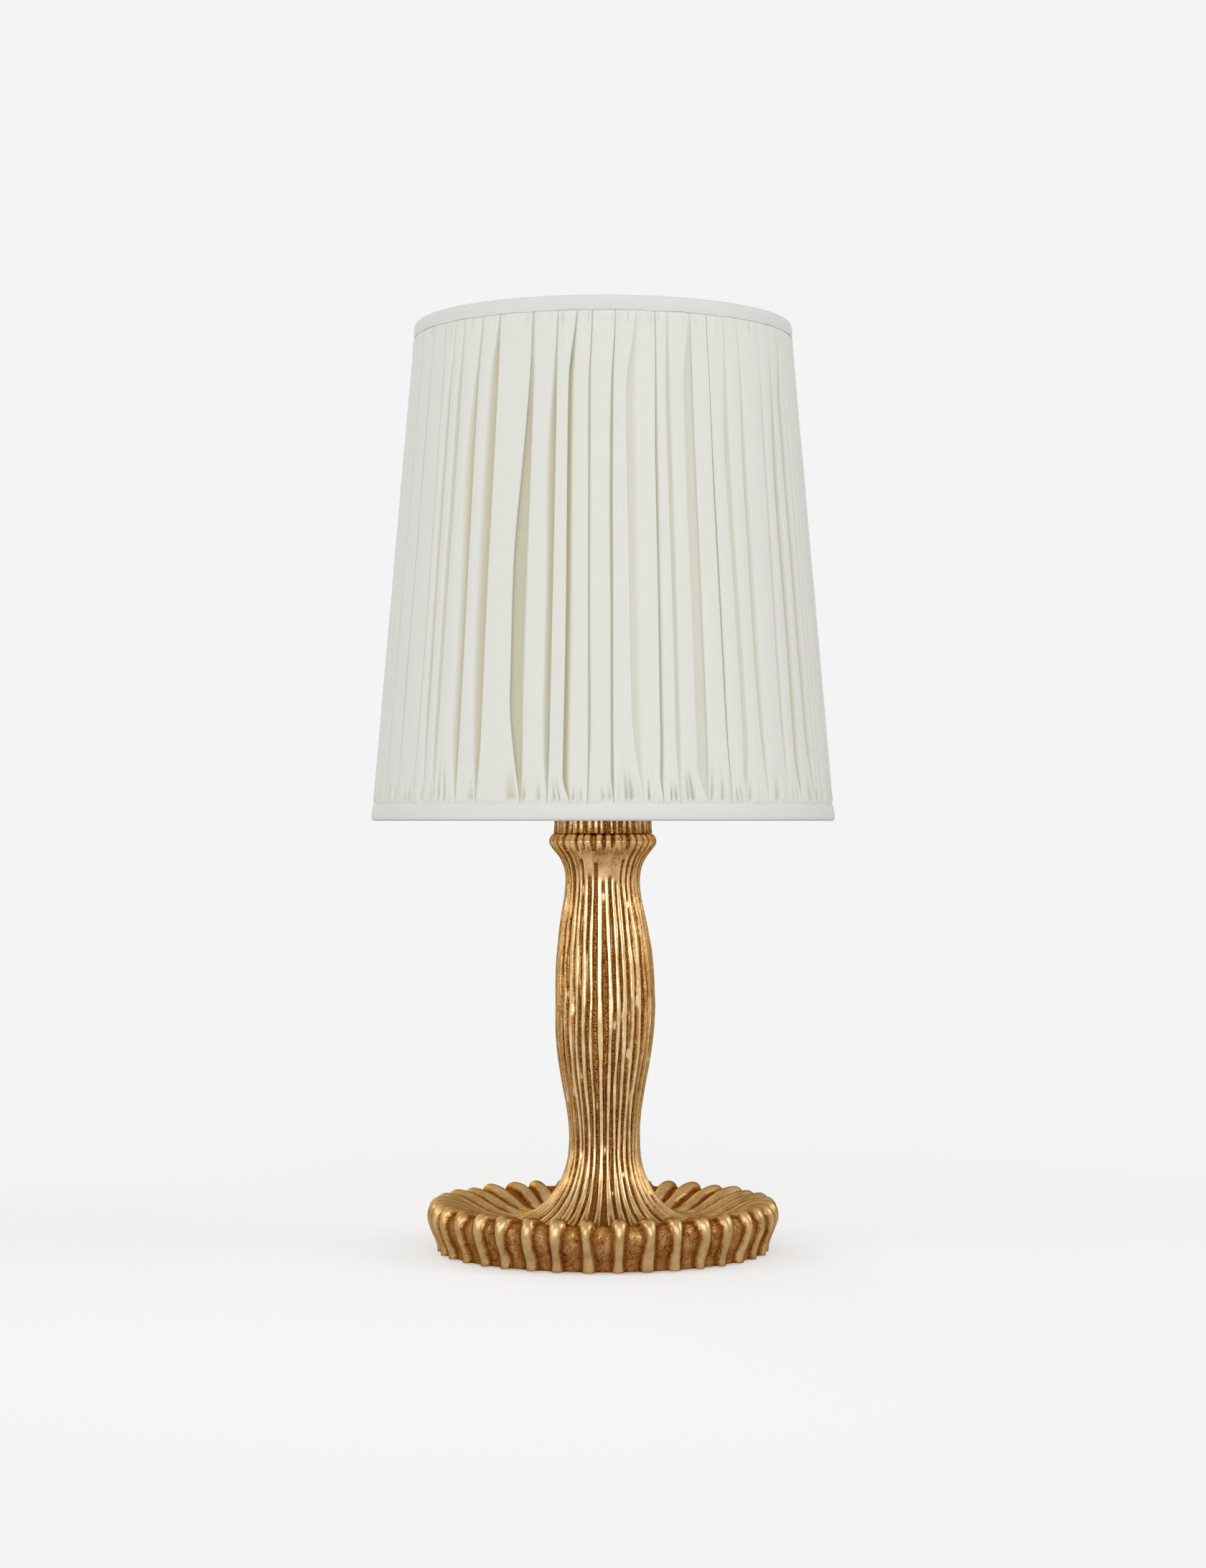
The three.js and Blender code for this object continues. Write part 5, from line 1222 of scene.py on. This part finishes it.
# %% [markdown]
# ## Light module
#
# What the shade hides is a small lamp of its own: a spun brass canister round the battery, a turned
# aluminium lid that spreads the heat, an opal sleeve over the light, and a threaded post with its
# nuts. All of it shows as soon as the shade comes off, so it is finished as well as the outside.
# A lathe makes nearly every one of these pieces, so each is an outline that is turned round the
# axis, and the slot for the port is cut with a Boolean, as a mill would cut it.

# %% Module materials
# In millimetres. A lathe's feed leaves rings less than 0.1 apart, which are drawn coarser to show.
BRASS_RINGS, ALUMINIUM_RINGS, RING_SWEEP = 0.25, 0.2, 20
TARNISH = 9
OPAL_HAZE, OPAL_CLOUD = 0.5, 12
SPANGLE = 1.5


def build_lacquered_brass(tree):
    """Spun or turned brass under clear lacquer: satin rings, a warm tone and slow tarnish."""
    place = add(tree, "TexCoord").outputs["Object"]
    sweep = 1 / (RING_SWEEP * MM)
    lathe = add(tree, "Mapping", {"Vector": place, "Scale": (sweep, sweep, 1 / (BRASS_RINGS * MM))})
    line = add(tree, "TexNoise", {"Vector": lathe.outputs[0], "Scale": 1.0, "Detail": 2})
    cloud = add(tree, "TexNoise", {"Vector": place, "Scale": 1 / (TARNISH * MM), "Detail": 4})
    tone = add(tree, "MapRange", {"Value": cloud.outputs[0], "From Min": 0.3, "From Max": 0.7})
    colour = add(tree, "Mix", {SHARE: tone.outputs[0], FIRST: linear("d2ab62"),
                               SECOND: linear("c29a52")}, data_type="RGBA")
    rough = add(tree, "MapRange", {"Value": line.outputs[0], "To Min": 0.22, "To Max": 0.42})
    bump = add(tree, "Bump", {"Height": line.outputs[0], "Strength": 0.2, "Distance": 0.03 * MM})
    return add(tree, "BsdfPrincipled", {"Base Color": colour.outputs[MIXED], "Metallic": 1.0,
                                        "Roughness": rough.outputs[0], "Coat Weight": 0.2,
                                        "Normal": bump.outputs[0]})


def build_turned_aluminium(tree):
    """Bare aluminium off the lathe: cool grey, with rings that stretch every highlight."""
    place = add(tree, "TexCoord").outputs["Object"]
    sweep = 1 / (RING_SWEEP * MM)
    lathe = add(tree, "Mapping", {"Vector": place,
                                  "Scale": (sweep, sweep, 1 / (ALUMINIUM_RINGS * MM))})
    line = add(tree, "TexNoise", {"Vector": lathe.outputs[0], "Scale": 1.0, "Detail": 2})
    colour = add(tree, "Mix", {SHARE: line.outputs[0], FIRST: linear("b9bcbf"),
                               SECOND: linear("d0d2d4")}, data_type="RGBA")
    rough = add(tree, "MapRange", {"Value": line.outputs[0], "To Min": 0.3, "To Max": 0.5})
    return add(tree, "BsdfPrincipled", {"Base Color": colour.outputs[MIXED], "Metallic": 1.0,
                                        "Roughness": rough.outputs[0]})


def build_opal_polycarbonate(tree):
    """Moulded opal polycarbonate: milk-white and soft in depth, under a fine satin haze."""
    place = add(tree, "TexCoord").outputs["Object"]
    haze = add(tree, "TexNoise", {"Vector": place, "Scale": 1 / (OPAL_HAZE * MM), "Detail": 2})
    cloud = add(tree, "TexNoise", {"Vector": place, "Scale": 1 / (OPAL_CLOUD * MM), "Detail": 2})
    colour = add(tree, "Mix", {SHARE: cloud.outputs[0], FIRST: linear("f1efe6"),
                               SECOND: linear("f7f6f0")}, data_type="RGBA")
    bump = add(tree, "Bump", {"Height": haze.outputs[0], "Strength": 0.15, "Distance": 0.03 * MM})
    return add(tree, "BsdfPrincipled", {"Base Color": colour.outputs[MIXED], "Roughness": 0.38,
                                        "Subsurface Weight": 0.3, "Subsurface Scale": 4 * MM,
                                        "Normal": bump.outputs[0]})


def build_zinc_plate(tree):
    """Zinc plated on steel: crystals of slightly different grey, all with the same dull gleam."""
    place = add(tree, "TexCoord").outputs["Object"]
    spangle = add(tree, "TexVoronoi", {"Vector": place, "Scale": 1 / (SPANGLE * MM)})
    colour = add(tree, "Mix", {SHARE: spangle.outputs["Color"], FIRST: linear("a9adb1"),
                               SECOND: linear("c2c5c8")}, data_type="RGBA")
    return add(tree, "BsdfPrincipled", {"Base Color": colour.outputs[MIXED], "Metallic": 1.0,
                                        "Roughness": 0.38})


lacquered_brass = finish_of("lacquered_brass", build_lacquered_brass)
turned_aluminium = finish_of("turned_aluminium", build_turned_aluminium)
opal_polycarbonate = finish_of("opal_polycarbonate", build_opal_polycarbonate)
zinc_plate = finish_of("zinc_plated_steel", build_zinc_plate)
print(len(bpy.data.materials), "materials so far")


# %% Canister
BARREL, BORE, FLANGE_THICKNESS = 15.5, 12.5, 2
LEDGE, CASE_FLOOR, LID_PLUG = 1.5, 1.5, 3
flange = levels("module_canister")[0]
board_level = levels("charge_board")[1]
barrel_head = levels("led_carrier")[1] + LID_PLUG
cup_inner = CUP_BORE - FIT
canister = turned("spun_canister", [
    (rod_hole, cup_floor), (cup_inner, cup_floor), (cup_inner, cup_top), (flange, cup_top),
    (flange, cup_top + FLANGE_THICKNESS), (BARREL, cup_top + FLANGE_THICKNESS),
    (BARREL, barrel_head), (BORE + LEDGE, barrel_head), (BORE + LEDGE, board_level),
    (BORE, board_level), (BORE, cup_floor + CASE_FLOOR), (rod_hole, cup_floor + CASE_FLOOR)],
    0.35, 160)
dress(canister, "base", lacquered_brass, "satin_brass", "module_canister")
print(f"canister {2 * BARREL:.0f} mm across, {barrel_head - cup_floor:.1f} mm tall")


# %% Port's slot
SLOT_REACH = 14 * MM
FULL_ROUND = 0.49
port_low, port_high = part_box("usb_c_port")
slot_size = (port_high.x - port_low.x + 2 * FIT * MM, SLOT_REACH,
             port_high.z - port_low.z + 2 * FIT * MM)
bpy.ops.mesh.primitive_cube_add(size=1)
slot = bpy.context.object
slot.name = "slot_cutter"
slot.dimensions = slot_size
slot.location = (0, port_high.y, (port_low.z + port_high.z) / 2)
bpy.context.view_layer.update()
round_ends = slot.modifiers.new("round_ends", "BEVEL")
round_ends.width = slot_size[2] * FULL_ROUND
round_ends.segments = 8
round_ends.limit_method = "NONE"
cut = canister.modifiers.new("port_slot", "BOOLEAN")
cut.object = slot
cut.solver = "EXACT"
bpy.context.view_layer.objects.active = canister
bpy.ops.object.modifier_apply(modifier=cut.name)
bpy.data.objects.remove(slot)
print("port slot cut,", len(canister.data.polygons), "faces")


# %% Lid and opal sleeve
LID, lid_foot, lid_head = levels("led_carrier")
_, sleeve_foot, sleeve_head = levels("diffuser")
CROWN, WALL, CROWN_POINTS = 11, 2, 14
plug = BORE + LEDGE - FIT
lid = turned("heat_lid", [(rod_hole, lid_foot), (plug, lid_foot), (plug, barrel_head),
                          (LID, barrel_head), (LID, lid_head), (rod_hole, lid_head)], 0.25)
dress(lid, "base", turned_aluminium, "turned_aluminium", "led_carrier")


def quarter(radius, head, crown):
    """A quarter circle that closes a sleeve, from its side to its flat top."""
    turn = np.linspace(0, math.pi / 2, CROWN_POINTS)
    return [(radius - crown * (1 - math.cos(a)), head - crown * (1 - math.sin(a))) for a in turn]


inner_crown = reversed(quarter(LID - WALL, sleeve_head - WALL, CROWN - WALL))
sleeve = turned("opal_sleeve", [(LID - WALL, sleeve_foot), (LID, sleeve_foot),
                                *quarter(LID, sleeve_head, CROWN), (rod_hole, sleeve_head),
                                (rod_hole, sleeve_head - WALL), *inner_crown], 0.2, 160)
dress(sleeve, "base", opal_polycarbonate, "opal_plastic", "diffuser")
print(f"opal sleeve {sleeve_head - sleeve_foot:.1f} mm tall on a lid {2 * LID:.1f} mm across")


# %% Threaded post
POST, POST_BORE, PITCH, THREAD_DEPTH = 5, 3.6, 1.0, 0.3
POST_FOOT, POST_FOOT_HEIGHT, THREAD_BELOW = 7, 1.5, 4
POST_COLUMNS, ROWS_TO_A_TURN = 72, 6
THREAD_CORNER = math.radians(60)
_, post_foot, post_head = levels("centre_post")
thread_foot = sleeve_head - THREAD_BELOW
plain = [(POST_BORE, post_head), (POST_BORE, post_foot), (POST_FOOT, post_foot),
         (POST_FOOT, post_foot + POST_FOOT_HEIGHT), (POST, post_foot + POST_FOOT_HEIGHT)]
thread_rows = np.arange(thread_foot, post_head - 0.4, PITCH / ROWS_TO_A_TURN)
post_rows = np.array([*plain, *[(POST, z) for z in thread_rows], (POST, post_head)])
angle = np.arange(POST_COLUMNS) * TURN / POST_COLUMNS
height = post_rows[:, 1:] + 0 * angle
threaded = (post_rows[:, :1] == POST) & (height > thread_foot)
wave = 0.5 - 0.5 * np.cos(TURN * (height / PITCH - angle / TURN))
radius = post_rows[:, :1] - threaded * THREAD_DEPTH * wave
points = np.stack([radius * np.cos(angle), radius * np.sin(angle), height], 2)
post = ring_mesh("threaded_post", points * MM)
post.data.set_sharp_from_angle(angle=THREAD_CORNER)
dress(post, "base", lacquered_brass, "satin_brass", "centre_post")
print(f"post {post_head - post_foot:.1f} mm tall with a thread of {PITCH} mm pitch")


# %% Nuts, seat and button
KNURLS, STEPS_TO_A_KNURL, PLAIN_COLUMNS = 40, 8, 96


def nut(name, node, body, knurls=KNURLS):
    """A turned ring that takes its size from the frame, with a knurled edge unless it is plain."""
    outer, foot, head = levels(node)
    section = [(rod_hole, foot), (outer, foot), (outer, head), (rod_hole, head)]
    piece = turned(name, section, 0.35, knurls * STEPS_TO_A_KNURL or PLAIN_COLUMNS, knurls)
    return dress(piece, body, lacquered_brass, "satin_brass", node)


nut("sleeve_nut", "diffuser_nut", "base")
nut("frame_seat", "seat_collar", "base", 0)
nut("frame_washer", "nut_washer", "clamp_washer", 0)
nut("frame_nut", "shade_nut", "clamp_nut")

# A turned outline can't touch the axis, so it stops this far from it.
AXIS = 0.01
PIN, PIN_HEAD, GUIDE_FOOT, CAP_LIFT, CAP_CROWN = 1.2, 2.2, 2.4, 1.1, 1.2
knob_radius, knob_foot, knob_head = levels("dimmer_button")
guide = POST_BORE - FIT
cap_foot = post_head + CAP_LIFT
cap = [(knob_radius * math.cos(a), knob_head - CAP_CROWN + CAP_CROWN * math.sin(a))
       for a in np.linspace(0.0, math.pi / 2 - 0.01, 12)]
knob = turned("push_knob", [(AXIS, knob_foot), (PIN, knob_foot), (PIN, knob_foot + PIN_HEAD),
                            (guide, knob_foot + GUIDE_FOOT), (guide, cap_foot),
                            (knob_radius, cap_foot), *cap], 0.2, PLAIN_COLUMNS)
dress(knob, "button", lacquered_brass, "satin_brass", "dimmer_button")
print(f"push button {2 * knob_radius:.1f} mm across")


# %% [markdown]
# ## Underside and inner pieces
#
# Felt closes the underside and keeps the lamp from scratching a table. The pieces inside are kept
# as the frame holds them, because their shape is right and nothing opens onto them, but each gets
# the finish of its own material.

# %% Materials for the underside and the inner pieces
# In millimetres. A felt's fibres are far too fine to show, so their clumps are drawn. The moulds'
# grain is about 0.1 on real pieces, and drawn coarser.
FELT_CLUMP = 0.8
MOULD_GRAIN, SAND_GRIT, FILM_RIPPLE, PVC_PEEL, BOARD_WEAVE = 0.3, 0.8, 1.5, 0.5, 0.6


def build_felt(tree):
    """Pressed wool felt: no gloss at all, dark brown, with clumps of fibre that catch the light."""
    place = add(tree, "TexCoord").outputs["Object"]
    fibre = add(tree, "TexNoise", {"Vector": place, "Scale": 1 / (FELT_CLUMP * MM), "Detail": 6,
                                   "Roughness": 0.7})
    colour = add(tree, "Mix", {SHARE: fibre.outputs[0], FIRST: linear("3d2d21"),
                               SECOND: linear("5d4736")}, data_type="RGBA")
    bump = add(tree, "Bump", {"Height": fibre.outputs[0], "Strength": 0.7, "Distance": 0.3 * MM})
    return add(tree, "BsdfPrincipled", {"Base Color": colour.outputs[MIXED], "Roughness": 1.0,
                                        "Sheen Weight": 0.4, "Normal": bump.outputs[0]})


def build_plain(first, second, roughness, grain, metal=0.0):
    """A moulded, printed or cast finish: two near tones and a fine grain of a given size."""
    def build(tree):
        place = add(tree, "TexCoord").outputs["Object"]
        speck = add(tree, "TexNoise", {"Vector": place, "Scale": 1 / (grain * MM), "Detail": 3})
        colour = add(tree, "Mix", {SHARE: speck.outputs[0], FIRST: linear(first),
                                   SECOND: linear(second)}, data_type="RGBA")
        bump = add(tree, "Bump", {"Height": speck.outputs[0], "Strength": 0.25,
                                  "Distance": 0.08 * MM})
        return add(tree, "BsdfPrincipled", {"Base Color": colour.outputs[MIXED], "Metallic": metal,
                                            "Roughness": roughness, "Normal": bump.outputs[0]})
    return build


felt = finish_of("pressed_wool_felt", build_felt)

# ABS moulded against a fine spark grain is even and half matt. Iron cast in sand keeps the sand's
# grit under a dull skin. PVC film shrunk over a battery is smooth and ripples slowly, PVC pressed
# round a wire has a faint peel, and solder mask baked on a board lets its glass cloth show through.
black_abs = finish_of("moulded_black_abs", build_plain("161618", "222224", 0.55, MOULD_GRAIN))
white_abs = finish_of("moulded_white_abs", build_plain("dededa", "ececea", 0.5, MOULD_GRAIN))
cast_iron = finish_of("cast_iron", build_plain("3c3c3e", "565658", 0.7, SAND_GRIT, 0.7))
shrink_film = finish_of("pvc_shrink_film", build_plain("2a6399", "3577b4", 0.35, FILM_RIPPLE))
wire_pvc = finish_of("pvc_insulation", build_plain("991b17", "b32621", 0.45, PVC_PEEL))
solder_mask = finish_of("green_solder_mask", build_plain("194f31", "23673f", 0.4, BOARD_WEAVE))
print(len(bpy.data.materials), "materials in all")


# %% Finishes for the inner pieces
FINISHES = {
    "gilded_resin": gold_leaf, "brown_felt": felt, "black_plastic": black_abs,
    "zinc_steel": zinc_plate, "cast_iron": cast_iron, "satin_brass": lacquered_brass,
    "white_plastic": white_abs, "cell_wrap": shrink_film, "red_lead": wire_pvc,
    "green_board": solder_mask, "turned_aluminium": turned_aluminium,
    "opal_plastic": opal_polycarbonate, "white_wire": lacquered_wire, "styrene": styrene,
    "shade_cloth": cotton, "trim_cloth": bias_tape,
}
for part in frame["record"]["subparts"]:
    data = frame["nodes"][part["node"]].data
    data.materials.clear()
    data.materials.append(FINISHES[part["material_slot"]])


# %% Felt pad
pad_radius, pad_foot, pad_head = levels("felt_pad")
felt_line = rounded([(AXIS, pad_foot), (pad_radius, pad_foot), (pad_radius, pad_head),
                     (AXIS, pad_head)], 0.5)
pad = turned("felt_disc", felt_line.tolist(), 0.05)
dress(pad, "base", felt, "brown_felt", "felt_pad")
print(f"felt pad {2 * pad_radius:.1f} mm across, {pad_head - pad_foot:.1f} mm thick")
